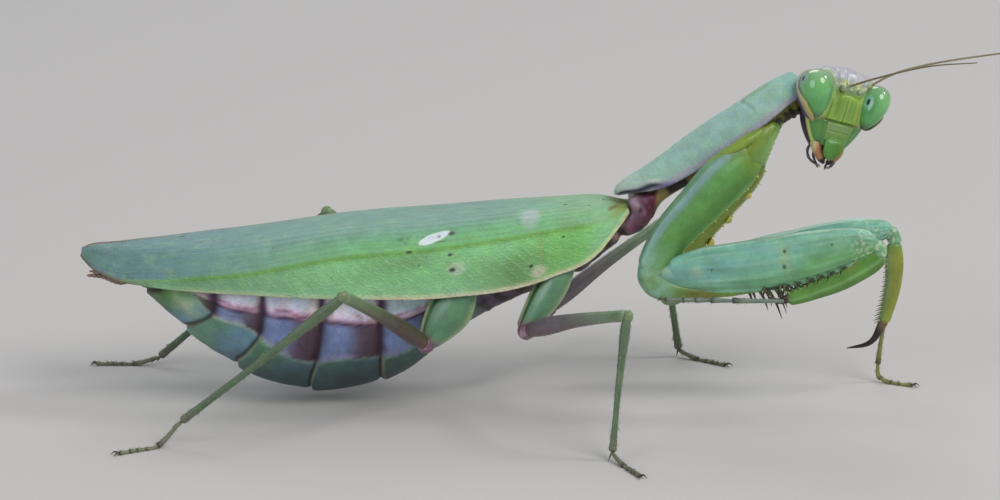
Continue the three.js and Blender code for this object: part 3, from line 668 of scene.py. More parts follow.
def model_belly(patch):
    """Plates below, soft blue-violet skin above them, then pale cushions between dark folds."""
    index, share, gap = belly_place(patch)
    x, _, height = np.moveaxis(patch.points, -1, 0)
    lift = patch.lift
    belly = ramp(x, 0.5, -3.5)
    edge, pale = PLATE_EDGE(x)[0], PALE_SKIN(x)[0]
    plate = ramp(lift, edge + 1.2, edge - 1.2) * belly
    soft = (1 - plate) * ramp(lift, 75, 40) * belly
    cushion = soft * ramp(lift, pale - 1.5, pale + 1.5)
    pleura = soft - cushion
    crumple = cloudy(patch.points * [2.2, 1, 0.8], 1.0)
    pleats = np.sin(2 * np.pi * (share * 2.5 + 0.1 * index)) * ramp(gap, 0.1, 1.2)
    ledge = bell(lift - edge, 1.0) * belly
    rise = 0.26 * ramp(share, 0.0, 0.75) * ramp(share, 1.0, 0.965) - 0.26 * bell(x + 14.2, 2.4)
    patch.push(
        plate * (rise + 0.03 * cloudy(patch.points, 0.9) - 0.14 * bell(gap, 0.2))
        + pleura * (0.1 * pleats + 0.12 * crumple - 0.3 * bell(gap, 0.55))
        + cushion * (0.55 * np.sqrt(np.sin(np.pi * share)) - 0.25 + 0.12 * crumple)
        - 0.28 * bell(lift - pale, 2.0) * soft
        + 0.05 * ledge
    )
    low = ramp(height, 7.2, 2.6)
    patches = ramp(cloudy(patch.points, 2.4), -0.3, 0.4)
    patch.paint((92, 76, 98), belly)
    patch.paint((122, 144, 200), pleura * ramp(share, 0.3, 0.65) * 0.9)
    patch.paint((98, 112, 112), pleura * bell(share - 0.5, 0.2) * ramp(x, -16, -19) * patches * 0.7)
    patch.paint((66, 42, 58), pleura * ramp(share, 0.32, 0.06) * 0.8)
    patch.paint((150, 148, 184), pleura * bell(lift - edge - 3, 1.6) * ramp(share, 0.3, 0.5) * 0.6)
    patch.paint((232, 218, 252), cushion)
    patch.paint((206, 232, 255), cushion * ramp(lift, pale + 5, pale + 9) * (0.4 + 0.6 * patches))
    patch.paint((178, 112, 158), cushion * bell(lift - pale - 1.8, 1.3) * 0.6)
    patch.paint((226, 208, 196), cushion * ramp(share, 0.3, 0.08) * 0.6)
    streak = bell(lift - pale - 4.5 - 3 * noise(patch.points, 1.7, 5), 1.4)
    patch.paint((158, 66, 122), cushion * streak * ramp(cloudy(patch.points, 1.3), -0.35, 0.1) * 0.85)
    patch.paint((96, 48, 92), soft * bell(lift - pale + 0.5, 1.4) * 0.85)
    patch.paint((104, 148, 140), plate)
    patch.paint((110, 150, 184), plate * ramp(share, 0.8, 0.35) * 0.75)
    patch.paint((88, 138, 90), plate * patches * ramp(share, 0.25, 0.6) * 0.7)
    # Plates painted darker low down, towards the floor: painted shade.
    patch.paint((60, 84, 90), plate * low * 0.95)
    patch.paint((60, 82, 86), plate * ramp(x, -20, -9) * ramp(height, 9, 4) * 0.65)
    paint_tail(patch, x, lift, belly, ledge)
    patch.paint((150, 160, 120), plate * bell(share - 0.975, 0.014) * 0.8)
    patch.paint((34, 22, 34), belly * bell(gap, 0.17) * ramp(lift, 40, 20) * 0.92)
    patch.paint((48, 26, 48), soft * bell(gap, 0.5) * ramp(lift, 14, 0) * 0.85)
    patch.paint((84, 44, 92), cushion * bell(gap, 0.5) * 0.9)
    patch.polish(0.62, plate)
    patch.polish(0.9, cushion)


def paint_tail(patch, x, lift, belly, ledge):
    """Greener last segments with a frosted patch, and pale upper edges of the plates."""
    tail = belly * ramp(x, -25.5, -29.5) * ramp(lift, -40, -10)
    patch.paint((106, 152, 92), tail)
    frosted = ramp(cloudy(patch.points, 1.5), -0.2, 0.3) * ramp(x, -30, -28.4)
    patch.paint((176, 200, 184), tail * frosted * 0.85)
    patch.paint((184, 206, 190), belly * bell(x + 28.4, 0.8) * bell(lift + 16, 12) * 0.8)
    patch.paint((58, 96, 52), belly * bell(x + 30.6, 0.9) * bell(lift + 6, 26) * 0.8)
    # Darker underside of the last segments: painted shade.
    patch.paint((52, 78, 52), belly * ramp(x, -28, -31) * ramp(lift, -25, -50) * 0.7)
    patch.paint((186, 200, 190), ledge * ramp(x, -31, -28) * ramp(x, -19, -24) * 0.7)
    patch.paint((140, 160, 150), ledge * ramp(x, -6, -9) * 0.5)


def model_thorax(patch):
    """Wrinkled purple-grey plates, and the plum-coloured knob in front of them."""
    x, y, z = np.moveaxis(patch.points, -1, 0)
    lift = patch.lift
    thorax = ramp(x, -3.2, -0.5) * ramp(x, 14.6, 13.9)
    low = ramp(lift, -20, -50)
    side = ramp(lift, -50, -25) * ramp(lift, 70, 45)
    knob = bell(x - 12.9, 1.3) * bell(lift + 5, 60)
    slant = np.sin((x * 1.9 + z * 1.5) * 1.5 + 1.2 * noise(patch.points, 1.3))
    wrinkle = np.sin((z - 0.4 * x) * 7 + 2 * noise(patch.points, 1.0))
    patch.push(
        thorax * (0.22 * side * slant + 0.14 * cloudy(patch.points, 0.9))
        + 0.25 * knob
        + 0.04 * knob * wrinkle
        - 0.3 * bell(x - 11.2, 0.3) * ramp(lift, 70, 40)
        - 0.2 * bell(x - 6.9, 0.3) * low
        - 0.12 * bell(y, 0.16) * low * thorax
    )
    patch.paint((122, 98, 112), thorax * side)
    # Dark grey underside of the thorax: painted shade.
    patch.paint((66, 60, 70), thorax * low)
    patch.paint((44, 28, 34), thorax * ramp(slant, 0.1, -0.6) * 0.9)
    patch.paint((160, 128, 128), thorax * side * ramp(slant, 0.4, 0.95) * 0.6)
    patch.paint((92, 70, 108), thorax * ramp(x, 2.5, 0.5) * ramp(slant, -0.2, 0.6) * 0.7)
    plum = ramp(x, 11.3, 11.9) * ramp(x, 14.6, 13.9)
    patch.paint((104, 46, 74), plum)
    patch.paint((70, 26, 52), plum * ramp(wrinkle, 0.2, 0.9) * 0.4)
    patch.paint((184, 166, 186), plum * bell(np.hypot(x - 12.0, (z - 19.0) * 0.8), 0.75) * 0.9)
    patch.paint((150, 120, 150), plum * bell(np.hypot(x - 11.9, (z - 17.8) * 0.8), 0.7) * 0.7)
    patch.paint((34, 12, 24), plum * bell(x - 12.6 - 0.12 * (z - 18), 0.12) * bell(z - 18.4, 0.5) * 0.8)
    patch.paint((28, 12, 18), plum * ramp(lift, -30, -52) * ramp(x, 13.9, 13.3))
    patch.polish(0.85, plum)


def model_breast(patch):
    """The breast under the shield and the neck: olive, with black blotches."""
    along, across, height = np.moveaxis(in_fore(patch.points), -1, 0)
    breast = ramp(patch.points[..., 0], 13.9, 14.5)
    patch.paint((156, 140, 92), breast)
    patch.paint((168, 112, 44), breast * ramp(along, 6.2, 7.2))
    patch.paint((118, 128, 44), breast * ramp(along, 11.5, 13.5))
    patch.paint((112, 112, 26), breast * ramp(along, 15.3, 16.5))
    collar = ramp(along, 3.9, 4.5) * ramp(along, 6.7, 6.1) * (np.abs(across) > 0.5)
    patch.paint((30, 16, 24), breast * collar)
    stains = cloudy(patch.points * [1, 1, 1.4], 0.9)
    stains = stains + 0.5 * bell(along - 17.3, 0.7) - 0.9 * ramp(height, -3.3, -2.6)
    neck = ramp(along, 15.0, 16.0)
    patch.paint((22, 16, 12), neck * ramp(stains, 0.25, 0.45))
    ragged = noise(patch.points, 0.5, 9)
    patch.paint((20, 16, 8), neck * ramp(patch.lift + 20 * ragged, -26, -34) * 0.95)
    patch.points[..., 1] -= 0.8 * ramp(along, 19.9, 22.2)
    folds = 0.12 * bell(patch.lift + 62, 24) * np.abs(np.sin(along * 6))
    patch.push(neck * (0.05 * np.sin(along * 8) + folds))


# ---------------------------------------------------------------- pronotum


def make_pronotum():
    """The shield of the neck: side keels with fine teeth, a furrow across and a ridge along."""
    rounding = 0.35
    length = PRONOTUM["length"] + rounding
    rings, sides = 440, 140
    t = stations(rings, 0.3)
    angle = full_turn(sides)
    width, keel, ridge = (row[:, None] for row in SHIELD(t))
    above = np.sin(angle)[None]
    rise = np.where(above > 0, (ridge - keel) * np.abs(above) ** 0.9, 0.12 * above)
    cos = np.cos(angle)[None]
    end = np.sqrt(np.clip(np.minimum(t, 1 - t) * length / rounding, 0.01, 1))[:, None]
    local_x = np.broadcast_to((t * length)[:, None], (rings, sides))
    points = fore_point(local_x, -width * end * signed_power(cos, 0.9), keel + rise * end)
    patch = Patch(points, (158, 200, 194), shine=0.4, grain=0.9)
    share = np.broadcast_to(t[:, None], patch.shape)
    across = np.broadcast_to(width * signed_power(cos, 0.9), patch.shape)
    above = np.broadcast_to(above, patch.shape)
    top = ramp(above, 0.0, 0.25)
    lip = bell(above, 0.16)
    furrow_at = 0.735 - 0.018 * np.cos(np.clip(across / 2.6, -1, 1) * np.pi)
    furrow = bell((share - furrow_at) * length, 0.2) * top * ramp(above, 0.3, 0.6)
    ridge_line = bell(across, 0.13) * top * ramp(share, 0.04, 0.1)
    teeth = lip * ramp(share, 0.12, 0.3) * ramp(share, 0.98, 0.9)
    dents = bell(np.abs(across) - 0.75, 0.45) * bell((share - 0.87) * length, 0.9)
    granules = ramp(noise(points, 0.3, 4), 0.45, 0.8)
    patch.push(
        0.1 * lip
        + 0.03 * teeth * np.abs(np.sin(share * length * 5.5))
        - 0.08 * furrow
        + 0.1 * ridge_line
        - 0.12 * dents * top
        + 0.035 * cloudy(points, 0.8)
        + 0.022 * granules * top
    )
    clouds = ramp(cloudy(points * [0.5, 1, 1], 2.2), 0.0, 0.6)
    paint_pronotum(patch, share, above, top, ridge_line, furrow, clouds, np.sin(share * length * 2.4))
    patch.place[..., 0], patch.place[..., 1] = share * length, across * 2
    return patch


def paint_pronotum(patch, share, above, top, ridge_line, furrow, clouds, ripple):
    """Blue-green, paler behind and along the ridge, with a violet rim and a navy line at the rear."""
    patch.paint((192, 208, 202), top * ramp(share, 0.2, 0.02) * 0.8)
    patch.paint((190, 214, 206), ridge_line * 0.5)
    patch.paint((140, 186, 148), top * clouds * 0.6)
    patch.paint((140, 194, 188), top * ramp(share, 0.8, 0.95) * 0.6)
    patch.paint((116, 150, 130), furrow * 0.3)
    patch.paint((168, 190, 208), ramp(above, 0.36, 0.1) * top * 0.4)
    patch.paint((168, 156, 184), bell(above - 0.1, 0.1) * 0.8)
    patch.paint((84, 58, 84), ramp(above, 0.06, -0.04))
    rear = ramp(share, 0.26, 0.18) * ramp(share, 0.0, 0.03)
    wave = 0.14 + 0.05 * ripple
    patch.paint((214, 218, 224), rear * bell(above - wave - 0.2, 0.11) * 0.75)
    patch.paint((172, 184, 176), rear * ramp(above, 0.1, 0.02))
    patch.paint((20, 20, 50), rear * bell(above - wave, 0.24 - 0.12 * ramp(share, 0.1, 0.22)))
    violet = ramp(share, 0.13, 0.2) * ramp(share, 0.3, 0.24)
    patch.paint((104, 80, 160), violet * bell(above - 0.03, 0.06) * 0.7)


# ---------------------------------------------------------------- wing cases

DOME = profile(WING_DOME)
WING_OVERLAP = {RIGHT: 20, LEFT: 4}  # degrees past the midline; the right wing lies on top
WING_STEP = {RIGHT: 0.35, LEFT: -0.5}  # how far its inner part lies above or below the dome
WIDEST = (6.5, 8.5)  # half width and height of the dome's widest section
# X and degrees up the side of the main vein, which parts the costal field from the rest.
MAIN_VEIN = profile([
    [-38.1, -6], [-30.7, 9], [-27, 14.5], [-24.3, 17.5], [-21.1, 23], [-18, 29], [-15.3, 33],
    [-7.2, 36.5], [-2.7, 39], [1.8, 41.5], [5.4, 41.5], [8.8, 38], [10.5, 28], [11.6, 20],
])
# Dark specks: X, degrees, half length, half height.
WING_SPOTS = [
    (-8.2, 36.6, 0.32, 0.13), (-4.5, 30.8, 0.24, 0.15), (-4.3, 16.5, 0.3, 0.2),
    (-7.3, 22.5, 0.1, 0.1), (2.8, 10.8, 0.2, 0.17), (5.7, 32.8, 0.11, 0.14), (9.4, 88, 0.13, 0.16),
    (4.6, 104, 0.5, 0.07), (7.8, 104, 0.25, 0.06), (5.9, 81, 0.2, 0.09), (8.1, 74, 0.1, 0.1),
    (-24.2, 100, 0.2, 0.08), (-29, 96, 0.3, 0.07), (-20.5, 55, 0.08, 0.08), (-15.2, 14, 0.06, 0.08),
]


def make_wing(side):
    """One wing case: half of the dome, bent over the back, with a thin closed edge."""
    low_x, high_x = WING_DOME[0][0], WING_DOME[-1][0]
    rings, outer, inner, fine = 520, 170, 22, 400
    t = stations(rings, 0.25)
    x = lerp(low_x, high_x, t)[:, None]
    width, low, high = DOME(x)
    lap = WING_OVERLAP[side] * np.sqrt(np.sin(np.pi * np.clip(t, 0, 1)) + 1e-9)[:, None]
    arc = np.radians(np.linspace(0, 90 + WING_OVERLAP[side], fine))
    across = WIDEST[0] * signed_power(np.cos(arc), 2 / DOME_POWER)
    up = WIDEST[1] * signed_power(np.sin(arc), 2 / DOME_POWER)
    walked = np.concatenate([[0], np.cumsum(np.hypot(np.diff(across), np.diff(up)))])
    v = np.interp(stations(outer, 0.3), walked / walked[-1], np.linspace(0, 1, fine))[None]
    degrees = (90 + lap) * v
    root = 1 - ramp(t, 0.94, 1)[:, None]
    inboard = np.maximum(ramp(v, 0.3, 0.68), 1 - ramp(t, 0, 0.08)[:, None])
    step = WING_STEP[side] * inboard * (root if side == RIGHT else 1)
    a = np.radians(degrees)
    points = grid(
        x,
        side * width * signed_power(np.cos(a), 2 / DOME_POWER),
        low + (high - low) * signed_power(np.sin(a), 2 / DOME_POWER) + step,
    )
    along = np.gradient(points, axis=0)
    over = np.gradient(points, axis=1)
    normal = unit(np.cross(over, along)) * side
    margin = np.linalg.norm(np.diff(points, axis=1), axis=-1)
    climbed = np.concatenate([np.zeros((rings, 1)), np.cumsum(margin, axis=1)], axis=1)
    from_rim = np.minimum(climbed, climbed[:, -1:] - climbed)
    relief, marks = wing_relief(points, degrees, climbed, from_rim)
    face = points + normal * relief[..., None]
    thick = 0.1 + 0.22 * ramp(from_rim, 0, 1.2)
    pick = np.round(np.linspace(outer - 1, 0, inner)).astype(int)
    back = points[:, pick] - normal[:, pick] * thick[:, pick, None]
    whole = np.concatenate([face, back], axis=1)
    if side == LEFT:
        whole = whole[:, ::-1]
    patch = Patch(whole, (124, 170, 130), shine=0.45, grain=0.35)

    def spread(values):
        joined = np.concatenate([values, values[:, pick]], axis=1)
        return joined[:, ::-1] if side == LEFT else joined

    paint_wing(patch, side, {name: spread(values) for name, values in marks.items()})
    return patch


def wing_relief(points, degrees, climbed, from_rim):
    """Height of the veins over the wing, and the fields that paint it."""
    x = points[..., 0]
    main = MAIN_VEIN(x)[0]
    mm_per_degree = np.gradient(climbed, axis=1) / np.gradient(degrees + 0 * x, axis=1)
    above_main = (degrees - main) * mm_per_degree
    costal = ramp(above_main, 0.15, -0.15)
    wobble = 0.12 * cloudy(points, 2.2)
    main_vein = bell(above_main + 0.1 * wobble, 0.26) * ramp(x, -32, -27) * ramp(x, 9.4, 7)
    long_veins = np.zeros_like(x)
    for k, share in enumerate((0.13, 0.25, 0.36, 0.47, 0.58, 0.69, 0.8, 0.91)):
        fork_x = -3 - 1.7 * (k % 3)
        at = main + (99 - main) * share
        vein = bell((degrees - at) * mm_per_degree + wobble, 0.1) * ramp(x, 9.5, 6.0)
        fork = at + 6.0 * ramp(x, fork_x, -16)
        forked = bell((degrees - fork) * mm_per_degree + wobble, 0.08) * ramp(x, fork_x, fork_x - 4)
        long_veins = np.maximum(long_veins, np.maximum(vein, forked))
    slant = x + 1.15 * climbed + 0.5 * cloudy(points, 3.0)
    ribs = bell((slant % 1.1) - 0.55, 0.1) * costal * ramp(from_rim, 0.3, 0.9)
    relief = (
        0.05 * main_vein
        + 0.045 * long_veins * (1 - costal)
        + 0.03 * ribs
        + 0.14 * bell(from_rim, 0.3)
        + 0.1 * cloudy(points * [0.6, 1, 1], 3.5)
        - 0.03 * bell(above_main + 0.8, 0.7)
    )
    marks = {
        "x": x,
        "degrees": degrees + 0 * x,
        "above_main": above_main,
        "costal": costal,
        "main_vein": main_vein,
        "long_veins": long_veins * (1 - costal),
        "ribs": ribs,
        "climbed": climbed,
        "from_rim": from_rim,
        "mm_per_degree": mm_per_degree,
    }
    return relief, marks


def paint_wing(patch, side, field):
    """Green costal field, bluer inner field, veins, pale rims, the white mark and dark specks."""
    x, degrees, costal, climbed = (field[name] for name in ("x", "degrees", "costal", "climbed"))
    inner = 1 - costal

    patch.paint((130, 182, 152))
    patch.paint((146, 210, 160), costal)
    patch.paint((128, 199, 132), costal * ramp(x, -26, -12) * ramp(climbed, 0.8, 2.2) * 0.6)
    patch.paint((116, 190, 92), costal * ramp(x, 0, 5) * ramp(x, 9.5, 7) * 0.7)
    patch.paint((104, 146, 94), costal * bell(x - 1.2, 3.0) * ramp(climbed, 4.2, 2.2) * 0.75)
    patch.paint((108, 152, 108), costal * bell(x + 8.5, 2.6) * bell(field["above_main"] + 0.9, 0.9) * 0.7)
    patch.paint((122, 164, 160), inner * ramp(degrees, 38, 68) * ramp(x, 6, -2) * 0.9)
    patch.paint((124, 195, 130), inner * ramp(x, -24, -10) * ramp(field["above_main"], 3.4, 0.6) * 0.8)
    patch.paint((106, 145, 158), ramp(x, -14, -33) * inner * 0.95)
    patch.paint((92, 118, 132), ramp(x, -30, -36) * bell(degrees - 55, 28) * 0.5)
    patch.paint((118, 166, 128), ramp(x, -10, -28) * costal * 0.9)
    patch.paint((136, 180, 140), inner * ramp(x, 3, 7) * 0.6)
    mottle = cloudy(patch.points * [1, 1.6, 1.6], 1.1)
    patch.paint((146, 184, 158), inner * ramp(mottle, 0.1, 0.6) * 0.35)
    flecks = ramp(noise(patch.points, 0.3, 6), 0.4, 0.75)
    patch.paint((84, 116, 116), inner * flecks * ramp(x, -22, -31) * 0.4)
    patch.paint((104, 160, 62), field["main_vein"] * 0.8)
    patch.paint((108, 152, 128), field["long_veins"] * 0.4)
    patch.paint((158, 200, 140), field["ribs"] * 0.25)
    paint_wing_rims(patch, x, climbed, field["from_rim"])
    paint_wing_marks(patch, side, x, degrees, field["mm_per_degree"])
    patch.veins = 0.6 + 0.4 * costal
    patch.place[..., 0] = (x + climbed * 0.7) * 2.4
    patch.place[..., 1] = climbed * 3.6
    patch.polish(0.7, inner * 0.5)


def paint_wing_rims(patch, x, climbed, from_rim):
    """A cream line along the lower rim, brown towards the tip."""
    rim = bell(from_rim, 0.3)
    lower = ramp(climbed, 3, 1)
    cream = bell(from_rim, 0.36) * lower * ramp(x, -17, -9)
    patch.paint((204, 202, 178), cream)
    patch.paint((190, 216, 150), cream * ramp(x, 7, 9.5) * 0.8)
    patch.paint((176, 190, 158), rim * lower * ramp(x, -9, -17) * ramp(x, -31, -27) * 0.8)
    patch.paint((104, 84, 66), rim * ramp(x, -30, -35) * 0.85)
    patch.paint((142, 124, 104), rim * (1 - lower) * 0.3)


def paint_wing_marks(patch, side, x, degrees, mm_per_degree):
    """The white mark with its dark edges, dark specks, and what only the right wing has."""

    def spot(at, up, half_length, half_height, slope=0.0):
        """Distance from a spot's middle, 1 at its edge; slope is its rise per millimetre."""
        rise = (degrees - up) * mm_per_degree - slope * (x - at)
        return np.hypot((x - at) / half_length, rise / half_height)

    def mark(colour, place, strength, outer=1.3, inner=0.6):
        patch.paint(colour, ramp(spot(*place), outer, inner) * strength)

    lens = spot(-6.15, 49.6, 1.62, 0.5, 0.34)
    left_tip = ramp(x, -6.2, -7.6) * 0.7
    patch.paint((226, 240, 255), ramp(lens + left_tip * np.maximum(0, lens - 0.3), 1.1, 0.92))
    mark((74, 92, 104), (-5.5, 51.4, 0.13, 0.16), 0.7)
    smudge = ramp(spot(-7.9, 50.0, 1.3, 0.5), 1.2, 0.5) * ramp(noise(patch.points, 0.28, 2), -0.3, 0.3)
    patch.paint((58, 66, 84), smudge * ramp(lens, 0.95, 1.1) * 0.75)
    mark((74, 54, 76), (-4.35, 53.5, 0.3, 0.26), 0.8)
    mark((84, 96, 96), (-5.4, 45.4, 0.5, 0.1), 0.6)
    if side == RIGHT:
        mark((190, 200, 214), (2.7, 66, 1.0, 1.6), 0.6, 1.3, 0.4)
        mark((212, 210, 196), (3.5, 5, 0.75, 0.6), 0.7, 1.3, 0.4)
        mark((196, 216, 200), (-3.9, 17, 1.0, 0.75), 0.55, 1.2, 0.5)
        mark((196, 146, 104), (3.7, 24, 0.07, 1.2), 0.55)
        mark((82, 140, 60), (7.2, 76, 1.0, 0.09, -0.1), 0.6)
        for at, up, long, high in WING_SPOTS:
            mark((44, 42, 50), (at, up, long, high), 0.9)
    lobe = ramp(x, 9.6, 10.8) * ramp(degrees, 20, 40)
    patch.paint((140, 156, 78), lobe * 0.8)
    mark((110, 96, 48), (10.2, 62, 0.45, 0.3, 0.5), 0.8, 1.4, 0.6)


# ---------------------------------------------------------------- head

HEAD_CENTRE = np.array(HEAD["centre"])


def on_head(points):
    """Points of the head's own frame (X to the face, Z to the crown) in the body's frame."""
    points = turned(np.asarray(points, float), HEAD["roll"], 0)
    points = turned(points, HEAD["pitch"], 1)
    return turned(points, HEAD["yaw"], 2) + HEAD_CENTRE


CHIN, CROWN = -4.5, 2.9
# Height, place of the section's middle, half width, half depth.
SKULL = profile([
    [CHIN, -1.3, 1.45, 0.95],
    [-4.0, -1.25, 1.85, 1.15],
    [-3.1, -1.25, 2.4, 1.4],
    [-2.2, -1.2, 2.8, 1.55],
    [-1.0, -1.05, 2.95, 1.6],
    [0.3, -0.9, 2.95, 1.5],
    [1.4, -0.85, 2.8, 1.4],
    [2.2, -0.95, 2.6, 1.35],
    [2.6, -1.0, 2.0, 1.05],
    [CROWN, -1.0, 1.2, 0.6],
])
SKULL_POWERS = (0.85, 0.6)  # squareness of the skull's sections in front and behind


def egg(directions, side):
    """Points of an eye in its own frame, for directions from its middle."""
    swell = 1 + EYE["taper"] * directions[..., 2:]
    return directions * EYE_RADII[side] * np.concatenate([swell, swell, swell * 0 + 1], -1)


def to_eye(points, side):
    """Points of an eye's own frame, in the head's frame."""
    points = turned(points, -EYE["lean_back"], 1)
    points = turned(points, -EYE["lean_out"] * side, 0)
    return points + np.array([0, EYE_OFFSET[side] * side, 0])


def eye_distance(points, side):
    """About how far points of the head's frame are from an eye's surface, in millimetres."""
    local = turned(points - np.array([0, EYE_OFFSET[side] * side, 0]), EYE["lean_out"] * side, 0)
    scaled = turned(local, EYE["lean_back"], 1) / EYE_RADII[side]
    scaled[..., :2] /= (1 + EYE["taper"] * np.clip(scaled[..., 2], -1, 1))[..., None]
    return (np.linalg.norm(scaled, axis=-1) - 1) * 1.5


# The dark false pupil of each eye: its direction in the eye's frame, and its size.
PUPILS = {RIGHT: ((0.087, -0.9, 0.64), 0.17), LEFT: ((0.589, -0.81, 0.01), 0.14)}


def make_eye(side):
    """A tall egg of an eye with its dark false pupil."""
    rings, sides = 110, 130
    z = -np.cos(np.pi * np.linspace(0.0005, 0.9995, rings))[:, None]
    a = -full_turn(sides)[None]
    level = np.sqrt(1 - z**2)
    ball = grid(level * np.cos(a), level * np.sin(a), z)
    patch = Patch(on_head(to_eye(egg(ball, side), side)), (112, 186, 118), shine=0.9, grain=0.2)
    x, y, z = np.moveaxis(ball, -1, 0)
    out = y * side
    patch.place = egg(ball, side)
    patch.paint((140, 176, 136), ramp(z, 0.1, 0.9) * 0.8)
    patch.paint((80, 160, 84), ramp(z, 0.3, -0.6) * ramp(x, -0.2, 0.5) * 0.8)
    patch.paint((126, 158, 138), ramp(x, 0.35, -0.25) * ramp(z, -0.9, 0.2) * 0.8)
    patch.paint((164, 186, 142), bell(x - 0.35, 0.35) * ramp(z, 0.7, 0.95) * 0.6)
    patch.paint((70, 118, 84), ramp(out, -0.05, -0.7) * ramp(x, 0.4, 0.9) * 0.5)
    # Darker at the bottom of the eye: painted shade.
    patch.paint((84, 112, 96), ramp(z, -0.72, -0.95) * 0.8)
    streaks = noise(np.stack([x * 5, y * 5, z * 1.2], -1), 0.55)
    patch.shade(1 + 0.06 * streaks)
    pupil, size = PUPILS[side]
    distance = np.linalg.norm(ball - np.array(pupil), axis=-1)
    patch.paint((150, 192, 200), ramp(distance, size * 3.0, size * 1.2) * 0.55)
    patch.paint((24, 42, 50), ramp(distance, size * 1.3, size * 0.7) * 0.95)
    return patch


def make_collar(side):
    """The rim of the head's shell that holds the back of an eye: pale lip, and dark purple behind as painted
    shade; the far eye's lip is painted dark green as shade.
    """
    rings, sides = 60, 120
    t = np.linspace(0, 1, rings)[:, None]
    a = full_turn(sides)[None]
    low = ramp(np.sin(a), 0.35, -0.5)
    outer = ramp(-np.cos(a) * side, -0.3, 0.6)
    lip_at = 64 + 10 * outer + 36 * low * outer  # degrees from the eye's back
    folded = ramp(t, 0.9, 1.0)
    polar = np.radians(1 + (lip_at - 1) * np.minimum(t / 0.9, 1) - 9 * folded)
    own = either(side, 1.0, 0.4)
    thick = own * (0.16 + 0.3 * low * bell(t - 0.6, 0.25) + 0.1 * bell(t - 0.84, 0.06)) - 0.5 * folded
    sine = np.sin(polar)
    ball = grid(-np.cos(polar), -sine * np.cos(a), sine * np.sin(a))
    local = egg(ball, side) + ball * thick[..., None]
    # The dark purple base is painted shade on the rear of the head.
    patch = Patch(on_head(to_eye(local, side)), (74, 58, 84), shine=0.5, grain=0.4)
    t = np.broadcast_to(t, patch.shape)
    patch.place = local
    low = np.broadcast_to(low, patch.shape)
    # The far (left) eye's lip and lower band are painted dark green, the near ones pale: painted shade on the
    # far side.
    patch.paint(either(side, (176, 176, 168), (92, 120, 96)), ramp(t, 0.7, 0.78))
    patch.paint(either(side, (178, 164, 114), (74, 90, 44)), ramp(t, 0.74, 0.8) * low)
    return patch


# Across and up the face, in the head's frame.
OCELLI = [(0.0, 1.02), (-0.42, 1.5), (0.42, 1.5)]
ANTENNA_SOCKET = (0.86, 0.92)


def face_height(y, z):
    """Relief of the face over its smooth capsule, for places across and up the face."""
    across = np.abs(y)
    shield_top = 0.5 - 0.28 * (across / 1.2) ** 2
    shield = ramp(z, shield_top, shield_top - 0.14) * ramp(z, -2.02, -1.86) * ramp(across, 1.5, 1.32)
    clypeus = ramp(z, -2.1, -2.24) * ramp(z, -3.86, -3.72) * ramp(across, 1.66 + 0.14 * z, 1.52 + 0.14 * z)
    socket = np.hypot(across - ANTENNA_SOCKET[0], z - ANTENNA_SOCKET[1])
    creases = (
        0.14 * bell(z + 2.05, 0.09) * ramp(across, 1.75, 1.5)
        + 0.06 * bell(z + 2.9, 0.07) * ramp(across, 1.1, 0.9)
        + 0.1 * (bell(across - 0.62, 0.09) + bell(across - 1.42, 0.1)) * ramp(z, 1.25, 1.7)
        + 0.08 * bell(across - (1.75 + 0.3 * (z + 2.0)), 0.08) * ramp(z, -2.0, -2.3)
        + 0.05 * bell(y, 0.07) * ramp(z, 0.4, -0.2) * ramp(z, -2.0, -1.7)
        + 0.1 * bell(socket, 0.26)
    )
    return (
        0.12 * shield
        + 0.08 * bell(across - 0.6 - 0.05 * z, 0.14) * ramp(z, -1.9, -1.5) * ramp(z, 0.45, 0.15)
        + 0.3 * clypeus
        + 0.14 * sum(bell(np.hypot(y - oy, z - oz), 0.3) for oy, oz in OCELLI)
        + 0.12 * bell(socket - 0.36, 0.12)
        - creases
    )


def make_skull():
    """The head's shell: a smooth capsule with the relief of the face pushed out of it."""
    rings, sides = 310, 310
    t = stations(rings, 0.15)
    z = lerp(CHIN, CROWN, t)[:, None]
    middle, width, depth = SKULL(z)
    a = full_turn(sides)[None]
    tall, chin_rounding, crown_rounding = CROWN - CHIN, 0.15, 0.4
    near_end = np.minimum(t * tall / chin_rounding, (1 - t) * tall / crown_rounding)
    end = np.sqrt(np.clip(near_end, 0.004, 1))[:, None]
    power = np.where(np.sin(a) > 0, *SKULL_POWERS)
    ahead = depth * end * signed_power(np.sin(a), power)
    local = grid(middle + ahead, width * end * np.cos(a), z)
    patch = Patch(on_head(local), (124, 154, 84), shine=0.6, grain=0.25)
    x, y, z = np.moveaxis(local, -1, 0)
    ahead = x - middle
    front = ramp(ahead, 0.15, 0.6)
    rim = sum(bell(eye_distance(local, side) - 0.16, 0.16) for side in (RIGHT, LEFT))
    temple = bell(ahead + 0.95, 0.45) * ramp(z, -1.2, -2.0) * ramp(np.abs(y), 0.5 * width, 0.8 * width)
    patch.push(face_height(y, z) * front + 0.04 * rim * ramp(ahead, -0.2, 0.2) + 0.4 * temple)
    patch.push(0.012 * cloudy(local, 0.5))
    paint_skull(patch, local, ahead, front, rim)
    patch.place = local
    return patch


